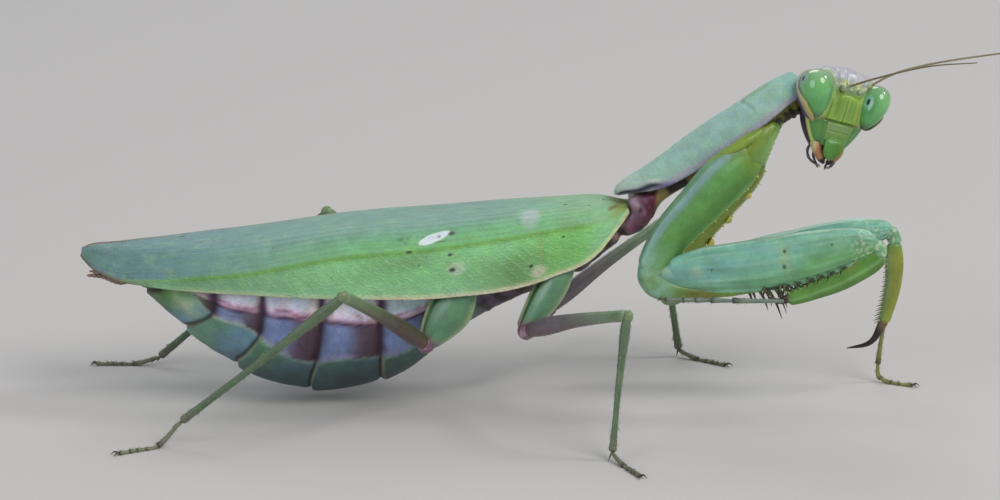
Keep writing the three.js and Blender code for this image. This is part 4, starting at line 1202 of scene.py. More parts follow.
def paint_skull(patch, local, ahead, front, rim):
    """Crown painted pale grey-lilac as a sky reflection; green face with yellow stripes and dark cheeks, the
    far side's stripe and cheek painted dark as shade; a back painted purple-grey as shade.
    """
    _, y, z = np.moveaxis(local, -1, 0)
    across = np.abs(y)
    behind = ramp(ahead, -0.35, -0.6)
    brow = ramp(z, 0.3, -0.1)
    # Pale grey-lilac over the crown, with pinkish clouds: a painted sky reflection on the top of the head.
    patch.paint((148, 172, 150), ramp(z, 0.6, 1.2) * 0.9)
    patch.paint((180, 184, 204), ramp(z, 1.2, 2.0) * 0.9)
    patch.paint((196, 178, 196), ramp(z, 1.9, 2.4) * ramp(cloudy(local, 1.2), 0, 0.5) * 0.7)
    patch.paint((142, 182, 78), front * ramp(z, 0.75, 0.35) * ramp(z, -2.1, -1.9))
    patch.paint((108, 146, 84), front * bell(across - 0.42, 0.2) * brow * ramp(z, -1.9, -1.4) * 0.7)
    patch.paint((104, 144, 48), front * bell(across - 0.85, 0.16) * brow * ramp(z, -1.9, -1.4) * 0.7)
    patch.paint((72, 104, 34), front * bell(y, 0.07) * brow * 0.7)
    patch.paint((150, 178, 96), front * bell(across - 1.22, 0.14) * brow * ramp(z, -2.0, -1.5) * 0.6)
    patch.paint((204, 214, 122), front * bell(np.hypot(across - 0.6, z - 1.55), 0.36) * 0.8)
    clypeus = front * ramp(z, -2.0, -2.2) * ramp(across, 1.72 + 0.14 * z, 1.5 + 0.14 * z)
    patch.paint((122, 158, 92), clypeus)
    bloom = ramp(cloudy(local * [1, 1.5, 1], 0.9), -0.1, 0.5)
    patch.paint((142, 166, 142), clypeus * bloom * ramp(z, -3.0, -2.4) * 0.7)
    patch.paint((104, 150, 70), clypeus * ramp(z, -2.8, -3.3) * 0.7)
    patch.paint((144, 102, 96), front * bell(np.hypot(across - 1.72, z + 2.1), 0.24) * 0.85)
    edge = 1.5 + 0.14 * z
    cheek = ramp(across, edge + 0.1, edge + 0.3) * ramp(z, -1.9, -2.3)
    patch.paint((84, 146, 76), cheek)
    # Teal spot low on the face: a painted glint.
    patch.paint((86, 150, 124), front * bell(np.hypot(across - 1.05, z + 3.95), 0.24) * 0.8)
    patch.paint((40, 36, 32), bell(np.hypot(across - 1.4, z + 4.2), 0.17) * ramp(ahead, -0.5, 0) * 0.95)
    low = ramp(z, -1.4, -1.9)
    stripe = ramp(ahead, -0.15, 0.0) * ramp(ahead, 0.52, 0.4) * low
    patch.paint((204, 212, 138), stripe * ramp(z, -4.45, -4.25) * (y < 0))
    # On the far side the stripe is painted dark green instead of pale: painted shade.
    patch.paint((58, 82, 34), stripe * (y > 0) * 0.8)
    # Dark purple below and behind the face, purple-grey over the back: painted shade on the rear of the head.
    patch.paint((62, 46, 70), low * ramp(ahead, 0.0, -0.2))
    patch.paint((92, 72, 98), behind * ramp(z, 0.6, -0.6))
    patch.paint((62, 46, 70), behind * ramp(z, -1.0, -2.5))
    patch.paint((166, 196, 140), np.clip(rim, 0, 1) * ramp(ahead, -0.1, 0.3) * 0.75)
    # Darker olive on the far cheek only: painted shade.
    patch.paint((84, 98, 60), ramp(across, 2.0, 2.5) * ramp(z, -1.2, -1.8) * ramp(y, 0, 0.5) * 0.6)


def make_mouth():
    """Labrum, jaws and lower lip."""
    lip = tube(
        [(0.2, 0, -3.5), (0.25, 0, -4.5), (-0.2, 0, -5.6)],
        [[0, 0.95, 0.3], [0.3, 0.98, 0.38], [0.7, 0.8, 0.34], [1, 0.35, 0.2]],
        110, 80, up=(1, 0, 0), blunt=(0.12, 0.5), tint=(84, 150, 66), shine=0.45, grain=0.3,
    )
    lip.push(-0.05 * bell(lip.t - 0.12, 0.05) + 0.02 * cloudy(lip.points, 0.4))
    lip.paint((86, 128, 34), ramp(lip.points[..., 1], -0.3, 0.2) * 0.8)
    lip.paint((104, 150, 76), ramp(lip.t, 0.35, 0.1) * 0.7)
    lip.paint((150, 152, 88), ramp(lip.t, 0.85, 1.0) * 0.7)
    under = tube(
        [(-1.9, 0, -3.6), (-1.7, 0, -4.8), (-1.2, 0, -5.6)],
        [[0, 1.2, 0.5], [0.5, 0.9, 0.4], [1, 0.4, 0.25]],
        60, 50, up=(1, 0, 0), blunt=(0.3, 0.4), tint=(146, 130, 122), shine=0.5, grain=0.4,
    )
    under.push(-0.1 * bell(under.points[..., 1], 0.1))
    patches = [lip, under]
    for side in (RIGHT, LEFT):
        jaw = tube(
            [(-1.3, 1.25 * side, -3.9), (-0.95, 1.1 * side, -4.7), (-0.75, 0.62 * side, -5.4),
             (-0.65, 0.12 * side, -6.0)],
            [[0, 0.5, 0.6], [0.45, 0.46, 0.55], [0.8, 0.34, 0.4], [1, 0.12, 0.16]],
            90, 44, up=(1, 0, 0), blunt=(0.4, 0.15), tint=(172, 122, 80), shine=0.5, grain=0.4,
        )
        outer = ramp(jaw.points[..., 1] * side, 1.2, 1.5)
        jaw.paint((190, 182, 134), np.maximum(ramp(jaw.t, 0.16, 0.04), outer * ramp(jaw.t, 0.75, 0.5)))
        jaw.paint((128, 138, 84), ramp(jaw.points[..., 1] * side, 0.95, 0.6) * ramp(jaw.t, 0.5, 0.3) * 0.8)
        jaw.paint((20, 15, 14), ramp(jaw.t, 0.72, 0.82))
        patches.append(jaw)
    for patch in patches:
        patch.points = on_head(patch.points)
    return patches


# Lines of the palps on the left, in the head's frame, with their radii and numbers of joints.
PALPS = [
    ([(-1.6, 1.3, -4.2), (-1.8, 1.5, -5.1), (-1.6, 1.25, -5.8), (-1.1, 0.75, -6.15), (-0.75, 0.35, -6.3)],
     0.15, 5),
    ([(-1.7, 0.9, -4.6), (-1.8, 0.85, -5.4), (-1.45, 0.5, -6.1), (-1.15, 0.35, -6.5)], 0.13, 3),
]


def make_palps():
    """A long five-jointed palp and a short one on each side of the mouth."""
    patches = []
    for side in (RIGHT, LEFT):
        for points, radius, joints in PALPS:
            palp = tube(np.array(points) * [1, side, 1], [[0, radius], [1, 0.8 * radius]], 120, 18,
                        blunt=(0.1, 0.12), tint=(92, 74, 92), shine=0.6, grain=0.3)
            ringed = np.abs(np.sin(palp.t * joints * np.pi))
            palp.push(0.05 * (ringed**0.5 - 1))
            palp.paint((40, 26, 38), ramp(ringed, 0.55, 0.2) * 0.9)
            palp.paint((150, 146, 140), ramp(palp.t, 0.86, 0.95) * 0.8)
            palp.points = on_head(palp.points)
            patches.append(palp)
    return patches


def surface_point(y, z, out=0.0):
    """A point on the face, a little proud of it."""
    middle, width, depth = SKULL(z)
    cos = np.clip(y / width, -1, 1)
    return np.array([float(middle + depth * (1 - cos**2) ** (SKULL_POWERS[0] / 2)) + out, y, z])


def make_ocelli():
    """Three small simple eyes on the forehead."""
    patches = []
    for y, z in OCELLI:
        base = surface_point(y, z, 0.02)
        bead = tube([base, base + [0.2, 0, 0.04]], [[0, 0.14], [1, 0.12]], 20, 26,
                    blunt=(0.02, 0.12), tint=(160, 174, 126), shine=0.5, grain=0.2)
        bead.paint((196, 204, 170), ramp(bead.t, 0.5, 1.0))
        bead.points = on_head(bead.points)
        patches.append(bead)
    return patches


def make_antenna(side):
    """Two stout joints at the base, then a long thread of many short joints."""
    socket = on_head(surface_point(ANTENNA_SOCKET[0] * side, ANTENNA_SOCKET[1], -0.1))
    line = Line([socket, *ANTENNAE[side][1:]])
    base = 1.3 / line.length
    scape = tube(line.part(0, base * 0.75), [[0, 0.16], [0.2, 0.23], [0.8, 0.22], [1, 0.16]],
                 26, 20, blunt=(0.1, 0.15), tint=(170, 184, 160), shine=0.6, grain=0.2)
    pedicel = tube(line.part(base * 0.72, base * 1.15), [[0, 0.13], [0.6, 0.16], [1, 0.12]],
                   16, 18, blunt=(0.08, 0.1), tint=(150, 160, 120), shine=0.6, grain=0.2)
    thread = tube(line.part(base * 1.1, 1, 40), [[0, 0.1], [0.3, 0.085], [1, 0.04]],
                  420, 10, blunt=(0.05, 0.1), tint=(128, 120, 92), shine=0.4, grain=0.3)
    joints = np.abs(np.sin(thread.along * np.pi / JOINT_LENGTH))
    thread.push(0.022 * (joints**0.5 - 0.6))
    thread.paint((96, 84, 60), ramp(joints, 0.4, 0.1) * 0.6)
    thread.paint((104, 86, 76), ramp(thread.t, 0.3, 0.9) * 0.7)
    return [scape, pedicel, thread]


def make_cercus(side):
    """A short jointed feeler at the tail."""
    line = Line([(-33.6, 1.0 * side, 11.6), *CERCI[side]])
    cercus = tube(line, [[0, 0.38, 0.34], [0.3, 0.36, 0.3], [0.8, 0.24, 0.2], [1, 0.1, 0.1]],
                  170, 22, blunt=(0.2, 0.3), tint=(140, 110, 104), shine=0.5, grain=0.5)
    joints = np.abs(np.sin(cercus.along * np.pi / JOINT_LENGTH))
    cercus.push(0.06 * (joints**0.6 - 0.8))
    cercus.paint((56, 40, 44), ramp(joints, 0.5, 0.2) * 0.8)
    cercus.paint((166, 150, 140), bell(cercus.t - 0.5, 0.3) * 0.4)
    return cercus


# ---------------------------------------------------------------- legs


def keel(patch, degrees, height, width=9.0, mask=1.0):
    """A ridge along a limb at an angle round it; returns where it is."""
    at = bell(around(patch, degrees), width) * mask
    patch.push(height * at)
    return at


def make_claws(tip, heading):
    """The two small hooks at the end of a foot, spread apart and bent to the floor."""
    heading = unit(np.array([heading[0], heading[1], 0.0]))
    aside = np.array([-heading[1], heading[0], 0.0])
    size, hooks = 0.75, []
    for way in (-1, 1):
        end = tip + heading * size * 0.85 + aside * way * size * 0.5
        end[2] = 0.05
        base = tip - heading * 0.12 + aside * way * 0.06
        hook = thorn(base, end, 0.11, ((96, 70, 40), (34, 22, 18)), (0, 0, 0.22), rings=14)
        hooks.append(above_floor(hook))
    return hooks


FOOT_CUTS = [0, 0.44, 0.62, 0.75, 0.85, 1.0]  # shares of a foot's length where its joints meet
FOOT_RADIUS = 0.27


def make_foot(points, colours, floor=True):
    """Five joints, each flared at its end over a pale pad; the first is the longest."""
    line = Line(points)
    patches = []
    for k, (start, end) in enumerate(zip(FOOT_CUTS, FOOT_CUTS[1:])):
        rows = np.array([[0, 0.55, 0.6], [0.6, 0.75, 0.8], [1, 1.05, 1]]) * [1, FOOT_RADIUS, FOOT_RADIUS]
        joint = tube(line.part(max(0, start - 0.012), end), rows, 34, 18,
                     blunt=(0.1, 0.16 if end == 1 else 0.1), shine=0.5, grain=0.4)
        joint.paint(colours[0]).paint(colours[1], ramp(joint.t, 0.72, 0.98) * 0.85)
        joint.paint((150, 150, 120), ramp(joint.t, 0.5, 0.8) * bell(around(joint, 270), 50) * 0.7)
        patches.append(above_floor(joint) if floor else joint)
        hairs = bristles(joint, 60 if k == 0 else 24, 0.3, 20 + k)
        patches += [hair for hair in hairs if hair.points[..., 2].min() > 0.02]
    return patches, line


def make_walking_coxa(pair, side, hip, trochanter):
    """The broad first part of a walking leg, keeled at its edges."""
    inside = hip + np.array([0.3, -1.7 * side, 1.2])
    broad = 1.9 if pair == "hind" else 1.35
    coxa = tube(
        [inside, hip, trochanter],
        [[0, 0.9, 1.1], [0.25, 1.2, 1.2], [0.52, broad, 1.2], [0.8, 0.75 * broad, 0.95], [1, 0.65, 0.75]],
        120, 60, up=(0, side, 0), blunt=(0.3, 0.5), tint=(100, 146, 112), shine=0.65, grain=0.4,
    )
    t = coxa.t
    edge = keel(coxa, either(side, 0, 180), 0.22, 9, ramp(t, 0.12, 0.3))
    other = keel(coxa, 150, 0.1, 12, ramp(t, 0.2, 0.4))
    coxa.push(-0.1 * bell(around(coxa, 60), 16) * ramp(t, 0.2, 0.5))
    coxa.paint((92, 140, 112), bell(around(coxa, 90), 50) * 0.7)
    # Pale blue band: painted highlight.
    coxa.paint((150, 184, 176), bell(around(coxa, 60), 12) * bell(t - 0.5, 0.25) * 0.6)
    # Dark olive beside the keel: painted shadow.
    coxa.paint((54, 78, 60), bell(around(coxa, either(side, 24, 156)), 12) * ramp(t, 0.2, 0.4) * 0.8)
    coxa.paint((52, 52, 64), bell(around(coxa, either(side, 176, 4)), 26) * ramp(t, 0.2, 0.4) * 0.8)
    # Pale keels: painted highlights along the ridges.
    coxa.paint((196, 212, 160), edge * 0.95)
    coxa.paint((172, 196, 150), other * 0.75)
    coxa.paint((140, 104, 130), ramp(t, 0.84, 0.98) * 0.8)
    coxa.paint((70, 52, 56), ramp(t, 0.2, 0.08) * 0.7)
    return coxa


def make_walking_trochanter(hip, trochanter, into):
    back = unit(trochanter - hip) * 0.5
    ring = tube([trochanter - back - into * 0.2, trochanter + into * 0.1, trochanter + into * 1.0],
                [[0, 0.6, 0.62], [0.5, 0.72, 0.8], [1, 0.58, 0.66]],
                44, 40, blunt=(0.35, 0.3), tint=(130, 98, 122), shine=0.65, grain=0.4)
    ring.push(-0.06 * bell(ring.t - 0.6, 0.06))
    ring.paint((176, 160, 176), ramp(cloudy(ring.points, 0.6), 0.1, 0.4) * 0.6)
    return ring


def make_walking_femur(pair, trochanter, knee, into):
    """A ridged femur, dull towards the body; the hind one is browner."""
    middle = lerp(trochanter, knee, 0.5) + np.array([0, 0, 0.25])
    femur = tube([trochanter + into * 0.5, middle, knee + into * 0.15],
                 [[0, 0.55, 0.62], [0.12, 0.6, 0.78], [0.5, 0.48, 0.64], [0.85, 0.42, 0.52], [1, 0.46, 0.52]],
                 200, 44, blunt=(0.4, 0.45), tint=(122, 152, 122), shine=0.6, grain=0.35)
    for degrees in (40, 140, 220, 320):
        femur.paint((152, 176, 140), keel(femur, degrees, 0.05, 8, ramp(femur.t, 0.05, 0.2)) * 0.4)
    brown, dull = (0.7, (66, 54, 48)) if pair == "hind" else (0.2, (114, 100, 120))
    femur.paint((92, 108, 78), brown)
    femur.paint(dull, ramp(femur.t, 0.95, 0.25) * 0.9)
    femur.paint((92, 64, 74), bell(around(femur, 270), 60) * ramp(femur.t, 0.9, 0.6) * 0.7)
    femur.paint((96, 70, 66), bell(femur.t - 0.04, 0.04) * 0.5)
    femur.paint((146, 174, 136), ramp(femur.t, 0.92, 0.99) * 0.6)
    return femur


def make_walking_tibia(knee, ankle, into, shin):
    """The knuckle of the knee and a thin, four-edged tibia, a little bowed."""
    knuckle = tube([knee - into * 0.35, knee + into * 0.2, knee + shin * 0.55],
                   [[0, 0.34, 0.38], [0.5, 0.42, 0.46], [1, 0.34, 0.4]],
                   36, 32, blunt=(0.3, 0.3), tint=(118, 140, 104), shine=0.6, grain=0.3)
    bow = lerp(knee, ankle, 0.5) - into * 0.12
    tibia = tube([knee + shin * 0.15, bow, ankle],
                 [[0, 0.34, 0.4], [0.08, 0.42, 0.5], [0.3, 0.34, 0.4], [0.9, 0.3, 0.34], [1, 0.36, 0.38]],
                 220, 36, blunt=(0.3, 0.25), tint=(84, 108, 84), shine=0.55, grain=0.4)
    for degrees in (45, 135, 225, 315):
        keel(tibia, degrees, 0.035, 9)
    tibia.paint((104, 128, 98), ramp(cloudy(tibia.points, 2.0), 0.0, 0.5) * 0.4)
    tibia.paint((108, 100, 92), ramp(tibia.t, 0.85, 1.0) * 0.6)
    return knuckle, tibia


def make_spurs(ankle, shin):
    """The two spurs at the end of a tibia, kept off the floor."""
    spurs = []
    for way in (-1, 1):
        tip = ankle + shin * 0.75 + np.array([0.3 * way, 0.2 * way, -0.05])
        tip[2] = max(tip[2], 0.08)
        spurs.append(thorn(ankle - shin * 0.2, tip, 0.12, ((128, 130, 96), (48, 32, 26))))
    return spurs


def make_walking_leg(pair, side):
    """Patches of the leg, none for spines, and its claws."""
    hip, trochanter, knee, ankle, toe = np.array(LEGS[pair, side], float)
    into, shin = unit(knee - trochanter), unit(ankle - knee)
    coxa = make_walking_coxa(pair, side, hip, trochanter)
    ring = make_walking_trochanter(hip, trochanter, into)
    femur = make_walking_femur(pair, trochanter, knee, into)
    knuckle, tibia = make_walking_tibia(knee, ankle, into, shin)
    hairs = bristles(tibia, 220, 0.36, 11) + bristles(femur, 120, 0.26, 12)
    on_floor = [lerp(ankle, toe, share) * [1, 1, 0] + [0, 0, SOLE] for share in (0.42, 0.7)]
    foot, line = make_foot([ankle + shin * 0.1, *on_floor, toe], ((116, 124, 104), (66, 54, 50)))
    patches = [coxa, ring, femur, knuckle, tibia, *hairs, *make_spurs(ankle, shin), *foot]
    return patches, [], make_claws(line.at(1.0), line.heading(1.0))


# ---------------------------------------------------------------- forelegs

# Rows: share of the length, half depth in the leg's plane, half width across it.
FORE_COXA = [
    [0, 1.3, 0.5], [0.1, 1.85, 0.85], [0.22, 2.1, 1.2], [0.5, 1.95, 1.2], [0.8, 1.65, 1.05], [1, 1.4, 0.95],
]
FORE_TROCHANTER = [
    [0, 1.25, 0.8], [0.1, 1.44, 0.98], [0.2, 1.36, 0.98], [0.3, 1.22, 0.9], [0.42, 0.95, 0.8],
    [0.54, 0.62, 0.6], [0.74, 0.42, 0.45], [1, 0.2, 0.2],
]
FORE_FEMUR = [
    [0, 1.0, 0.75], [0.06, 1.5, 0.9], [0.15, 1.95, 1.05], [0.3, 2.25, 1.15], [0.5, 2.4, 1.2],
    [0.65, 2.32, 1.15], [0.77, 2.05, 1.0], [0.87, 1.7, 0.85], [0.95, 1.25, 0.7], [1, 0.8, 0.55],
]
FORE_TIBIA = [[0, 0.6, 0.5], [0.12, 0.78, 0.52], [0.5, 0.78, 0.5], [0.85, 0.62, 0.46], [1, 0.52, 0.42]]
OUTWARD = np.array([0.0, -1.0, 0.0])  # the way that a foreleg's sections face at 90 degrees
COXA_FRONT = np.array([22.7, 3.05, 23.8])  # where the right coxa starts, mirrored to the left

# Rows of spines under the femur, by share of its length, with their lengths.
OUTER_SPINES = {0.455: 0.5, 0.53: 0.8, 0.55: 0.9, 0.6: 0.45, 0.66: 0.5, 0.71: 0.4, 0.76: 0.45, 0.82: 0.35}
MIDDLE_SPINES = {0.37: 1.2, 0.42: 2.0, 0.46: 3.0, 0.51: 2.0}
INNER_SPINES = {
    share: (0.95 if k % 2 else 0.5) * (1.1 - 0.03 * k) for k, share in enumerate(np.linspace(0.5, 0.93, 16))
}
DARK_SPINE = ((84, 96, 62), (18, 14, 13))


def limb(side, line, rows, rings, sides, **looks):
    """A tube of a foreleg; its angles are read with facing()."""
    patch = tube(line, rows, rings, sides, up=OUTWARD, **looks)
    patch.side = side
    return patch


def facing(patch, degrees, width):
    """How near points are to an angle round a foreleg: 0 is behind or below, 90 is outside,
    180 in front or above and 270 inside."""
    return bell((around(patch, 0) * -patch.side - degrees + 180) % 360 - 180, width)


def stripe(patch, colour, degrees, width, *factors):
    """Paints along a foreleg at an angle round it, as strongly as all factors together."""
    patch.paint(colour, math.prod(factors, start=facing(patch, degrees, width)))


def stain(patch, share, degrees, spread, wide=1.0):
    """Distance in millimetres along a limb from a place on it, and round it in steps of spread."""
    return np.hypot(
        (patch.t - share) * patch.length / wide, (around(patch, 0) * -patch.side - degrees) / spread
    )


def depth_at(rows, share):
    return np.interp(share, *np.array(rows)[:, :2].T)


def make_hip(side, coxa_line):
    """The swelling between breast and coxa, with fine teeth in front, and a strap along the shield."""
    points = np.array([(24.9, -1.9, 26.3), (23.7, -2.5, 25.2), (22.9, -2.75, 23.9), (22.6, -2.7, 22.6)])
    edge = np.array([(24.5, -2.0, 26.1), (23.0, -2.8, 25.45), (21.4, -3.4, 24.6), (18.6, -3.5, 23.0)])
    if side == LEFT:
        mirror = np.array([1, -1, 1])
        shift = (coxa_line.at(0) - COXA_FRONT) * 0.6
        points, edge = points * mirror + shift, edge * mirror + shift
    hip = limb(side, points, [[0, 0.5, 0.5], [0.3, 0.95, 0.75], [0.65, 1.25, 0.9], [1, 1.2, 0.8]],
               120, 70, blunt=(0.5, 0.8), tint=(116, 152, 62), shine=0.6, grain=0.5)
    front = facing(hip, 170, 24)
    hip.push(0.05 * cloudy(hip.points, 0.7) + 0.12 * front - 0.1 * facing(hip, 120, 12))
    hip.push(0.07 * front * np.abs(np.sin(hip.along * 5)))
    stripe(hip, (112, 158, 92), 140, 45, 0.8)
    hip.paint((178, 204, 152), front * 0.6)
    stripe(hip, (124, 146, 44), 40, 50, 0.8)
    strap = limb(side, edge, [[0, 0.4, 0.5], [0.4, 0.5, 0.6], [0.7, 0.38, 0.5], [1, 0.16, 0.25]],
                 70, 40, blunt=(0.4, 0.4), tint=(128, 158, 58), shine=0.6, grain=0.5)
    strap.push(0.04 * cloudy(strap.points, 0.6))
    stripe(strap, (150, 176, 84), 150, 50, 0.5)
    return [hip, strap]


def make_fore_coxa(side, line):
    """The long three-edged coxa with its teeth, and the warts on the inside of the left one."""
    coxa = limb(side, line, FORE_COXA, either(side, 280, 180), 110, blunt=(0.7, 0.9), power=2.3,
                tint=(96, 156, 84), shine=0.62, grain=0.4)
    t = coxa.t
    along = ramp(t, 0.06, 0.16)
    coxa.push(0.14 * facing(coxa, 176, 8) * along + 0.1 * facing(coxa, 40, 12) * along)
    coxa.push(-0.1 * facing(coxa, 70, 10) * along - 0.14 * facing(coxa, 150, 9) * along)
    coxa.push(0.025 * cloudy(coxa.points, 0.7))
    streaks = noise(np.stack([coxa.along * 0.5, coxa.angle / 9, 0 * t], -1), 1.0, 2)
    stripe(coxa, (110, 158, 128), 5, 36, 0.95)
    # Pale blue band along the upper rear side: a painted sky highlight.
    stripe(coxa, (134, 170, 178), 48 + 3 * streaks, 14, (0.95 - 0.15 * streaks))
    stripe(coxa, (72, 122, 42), 125, 26, ramp(t, 0.95, 0.7), 0.7)
    stripe(coxa, (166, 186, 96), 178, 9, 0.9)
    stripe(coxa, (132, 140, 56), 205, 22, 0.7)
    stripe(coxa, (130, 152, 76), 270, 50, 0.6)
    # Pale blue towards the lower end: painted highlight.
    coxa.paint((132, 180, 160), ramp(t, 0.72, 0.95) * facing(coxa, 50, 60) * 0.8)
    coxa.paint((118, 132, 44), ramp(t, 0.8, 0.92) * facing(coxa, 150, 30) * 0.8)
    coxa.paint((120, 156, 56), ramp(t, 0.2, 0.04) * 0.9)
    if side == LEFT:
        coxa.paint((142, 160, 56), ramp(t, 0.05, 0.15) * 0.75)
    return [coxa, *make_coxa_teeth(line), *(make_coxa_warts(line) if side == LEFT else [])]


def in_front(line, share):
    """The way that the front edge of a limb faces."""
    return -unit(np.cross(line.heading(share), OUTWARD))


def make_coxa_teeth(line):
    """Fine yellow teeth along the front edge."""
    teeth = []
    for k, share in enumerate(np.linspace(0.1, 0.9, 34)):
        ahead = in_front(line, share)
        depth = depth_at(FORE_COXA, share)
        base = line.at(share) + ahead * depth * 0.93 + OUTWARD * 0.1 * (k % 2)
        size = 0.08 + 0.14 * (k % 4 == 0)
        tip = base + ahead * (0.14 * depth + size)
        teeth.append(thorn(base, tip, 0.17, ((176, 190, 98), (224, 222, 152)), rings=8, sides=10))
    return teeth


def make_coxa_warts(line):
    """The three yellow warts."""
    warts = []
    for share in (0.3, 0.52, 0.73):
        ahead = in_front(line, share)
        base = line.at(share) + ahead * 1.75 + OUTWARD * 0.3
        warts.append(tube([base, base + ahead * 0.6], [[0, 0.55, 0.46], [1, 0.36, 0.32]], 24, 24,
                          blunt=(0.1, 0.3), tint=(208, 204, 112), shine=0.8, grain=0.4))
    return warts


def make_trochanter(side, coxa_line, femur_line):
    """The bent ring between coxa and femur, drawn out into a keel under the femur."""
    hinge = coxa_line.at(1.0)
    start = hinge - coxa_line.heading(1.0) * 2.3
    sag = either(side, 1.0, 0.5)
    under = [femur_line.at(share) - np.array([0, 0, drop * sag])
             for share, drop in ((0.02, 1.5), (0.12, 2.0), (0.28, 2.2))]
    end = femur_line.at(0.5) - np.array([0, -0.1 * side, 2.25 * sag])
    rows = np.array(FORE_TROCHANTER) * [1, either(side, 1.0, 0.7), 1]
    knob = limb(side, [start, hinge - np.array([-0.25, 0, 0.4 * sag]), *under, end], rows, 140, 60,
                blunt=(0.6, 0.3), tint=(120, 164, 116), shine=0.6, grain=0.35)
    t = knob.t
    knob.push(0.06 * cloudy(knob.points, 0.9) - 0.06 * bell(t - 0.3, 0.02))
    knob.paint((98, 136, 50), ramp(t, 0.28, 0.46) * 0.9)
    knob.paint((112, 156, 88), ramp(t, 0.2, 0.28) * facing(knob, 0, 50) * 0.7)
    # Pale blue patches near the hinge: painted highlight.
    knob.paint((150, 200, 206), bell(t - 0.22, 0.1) * ramp(cloudy(knob.points, 0.7), -0.3, 0.5) * 0.65)
    knob.paint((134, 112, 46), bell(t - 0.54, 0.12) * facing(knob, 60, 60) * 0.8)
    knob.paint((112, 150, 60), ramp(t, 0.62, 0.75) * 0.8)
    saddle = limb(side, [hinge + [0.9, 0, 0.6], femur_line.at(0.0) + [0.2, 0, 0.1], femur_line.at(0.1)],
                  [[0, 0.6, 0.6], [0.5, 1.0, 0.8], [1, 1.1, 0.8]], 70, 50, blunt=(0.4, 0.5),
                  tint=(136, 184, 172), shine=0.65, grain=0.35)
    saddle.push(0.06 * cloudy(saddle.points, 0.8))
    saddle.paint((112, 146, 62), ramp(saddle.t, 0.35, 0.1) * 0.9)
    return [knob, saddle]


def make_fore_femur(side, line):
    """The thick femur: long ridges, and a groove beside the lowest one."""
    rows = np.array(FORE_FEMUR)
    if side == LEFT:
        rows[:, 1] *= 1 - 0.2 * ramp(rows[:, 0], 0.4, 0.8)
    femur = limb(side, line, rows, either(side, 380, 260), 130, blunt=(0.9, 0.7), power=2.15,
                 tint=(122, 184, 169), shine=0.58, grain=0.4)
    t = femur.t
    middle = ramp(t, 0.05, 0.2) * ramp(t, 0.98, 0.88)
    for degrees, height, pale in ((20, 0.1, 0.5), (68, 0.04, 0.16), (100, 0.05, 0.16), (132, 0.04, 0.16),
                                  (164, 0.08, 0.5), (200, 0.06, 0.16)):
        ridge = facing(femur, degrees, 4.5) * middle
        femur.push(height * ridge)
        # Pale along each ridge: painted highlights.
        femur.paint((184, 212, 196), ridge * pale)
    femur.push(-0.12 * facing(femur, 36, 7) * middle + 0.02 * cloudy(femur.points * [0.5, 1, 1], 1.4))
    femur.push(0.03 * bell(t - 0.95, 0.035) * np.sin(femur.angle * 0.28))
    paint_fore_femur(femur, middle)
    return femur


def paint_fore_femur(femur, middle):
    """Blue-green with pale streaks, darker green below as painted shade, a painted highlight along the top
    edge, dark at the bases of the outer spines.
    """
    t = femur.t
    streaks = noise(np.stack([femur.along * 0.28, femur.angle / 7, 0 * t], -1), 1.0, 3)
    stripe(femur, (112, 168, 168), 92, 22, bell(t - 0.22, 0.2), 0.9)
    stripe(femur, (116, 166, 176), 140, 12, bell(t - 0.45, 0.1), 0.6)
    stripe(femur, (110, 176, 122), 50, 30, ramp(t, 0.15, 0.55), 0.9)
    stripe(femur, (104, 170, 96), 74, 30, ramp(t, 0.5, 0.72), 0.85)
    stripe(femur, (122, 184, 146), 62, 22, ramp(t, 0.2, 0.3), ramp(t, 0.62, 0.5), 0.7)
    # Pale line along the top edge: painted highlight.
    stripe(femur, (184, 212, 190), 172, 9, ramp(t, 0.4, 0.6), 0.6)
    stripe(femur, (134, 200, 164), 36, 20, ramp(t, 0.6, 0.3), 0.75)
    stripe(femur, (112, 164, 126), 112, 30, ramp(t, 0.62, 0.78), 0.65)
    femur.paint((152, 196, 178), ramp(streaks, 0.2, 0.6) * middle * 0.3)
    femur.paint((98, 150, 124), ramp(streaks, -0.2, -0.6) * middle * 0.3)
    # Darker green along the underside: painted shade.
    stripe(femur, (92, 132, 44), -12, 22, 0.9)
    stripe(femur, (150, 128, 52), 0, 30, bell(t - 0.16, 0.05), 0.8)
    scar = np.hypot((t - 0.15) * 20, around(femur, 0) / 26 + femur.side * 3.6)
    femur.paint((204, 216, 190), bell(scar, 0.55) * 0.3)
    stripe(femur, (172, 200, 146), 110, 30, bell(t - 0.565, 0.025), 0.55)
    # Pale flecks at the knee end: painted highlights on the knee lobes.
    femur.paint((196, 216, 190), bell(t - 0.93, 0.06) * ramp(noise(femur.points, 0.2, 5), 0.0, 0.5) * 0.6)
    for share, wide in sorted({0.5: 1.0, **dict.fromkeys(OUTER_SPINES, 0.42)}.items()):
        femur.paint((34, 32, 28), ramp(stain(femur, share, 24, 11, wide), 1.1, 0.5) * 0.9)
    for share, degrees, radius in ((0.57, 118, 0.16), (0.555, 86, 0.16), (0.79, 112, 0.12), (0.22, 96, 0.1)):
        speck = ramp(stain(femur, share, degrees, 28), radius * 1.4, radius * 0.6)
        femur.paint((52, 66, 62), speck * 0.85)
    stripe(femur, (40, 38, 34), 14, 12, bell(t - 0.54, 0.02), 0.9)


def spine_row(line, below, depths, spines, radius, offset, lean, colours=DARK_SPINE):
    """Spines along the lower edge of a limb, as {share: length}; lean is towards the body, as a
    share of length."""
    thorns = []
    for share, length in spines.items():
        depth = depth_at(depths, share)
        base = line.at(share) + below * depth * 0.82 + OUTWARD * offset
        tip = base + below * (length + 0.18 * depth) + OUTWARD * offset * 0.5
        tip = tip - line.heading(share) * length * lean
        bend = line.heading(share) * length * 0.06
        thick = radius * (0.6 + 0.4 * min(1, length))
        thorns.append(thorn(base, tip, thick, colours, bend, rings=12, sides=10))
    return thorns


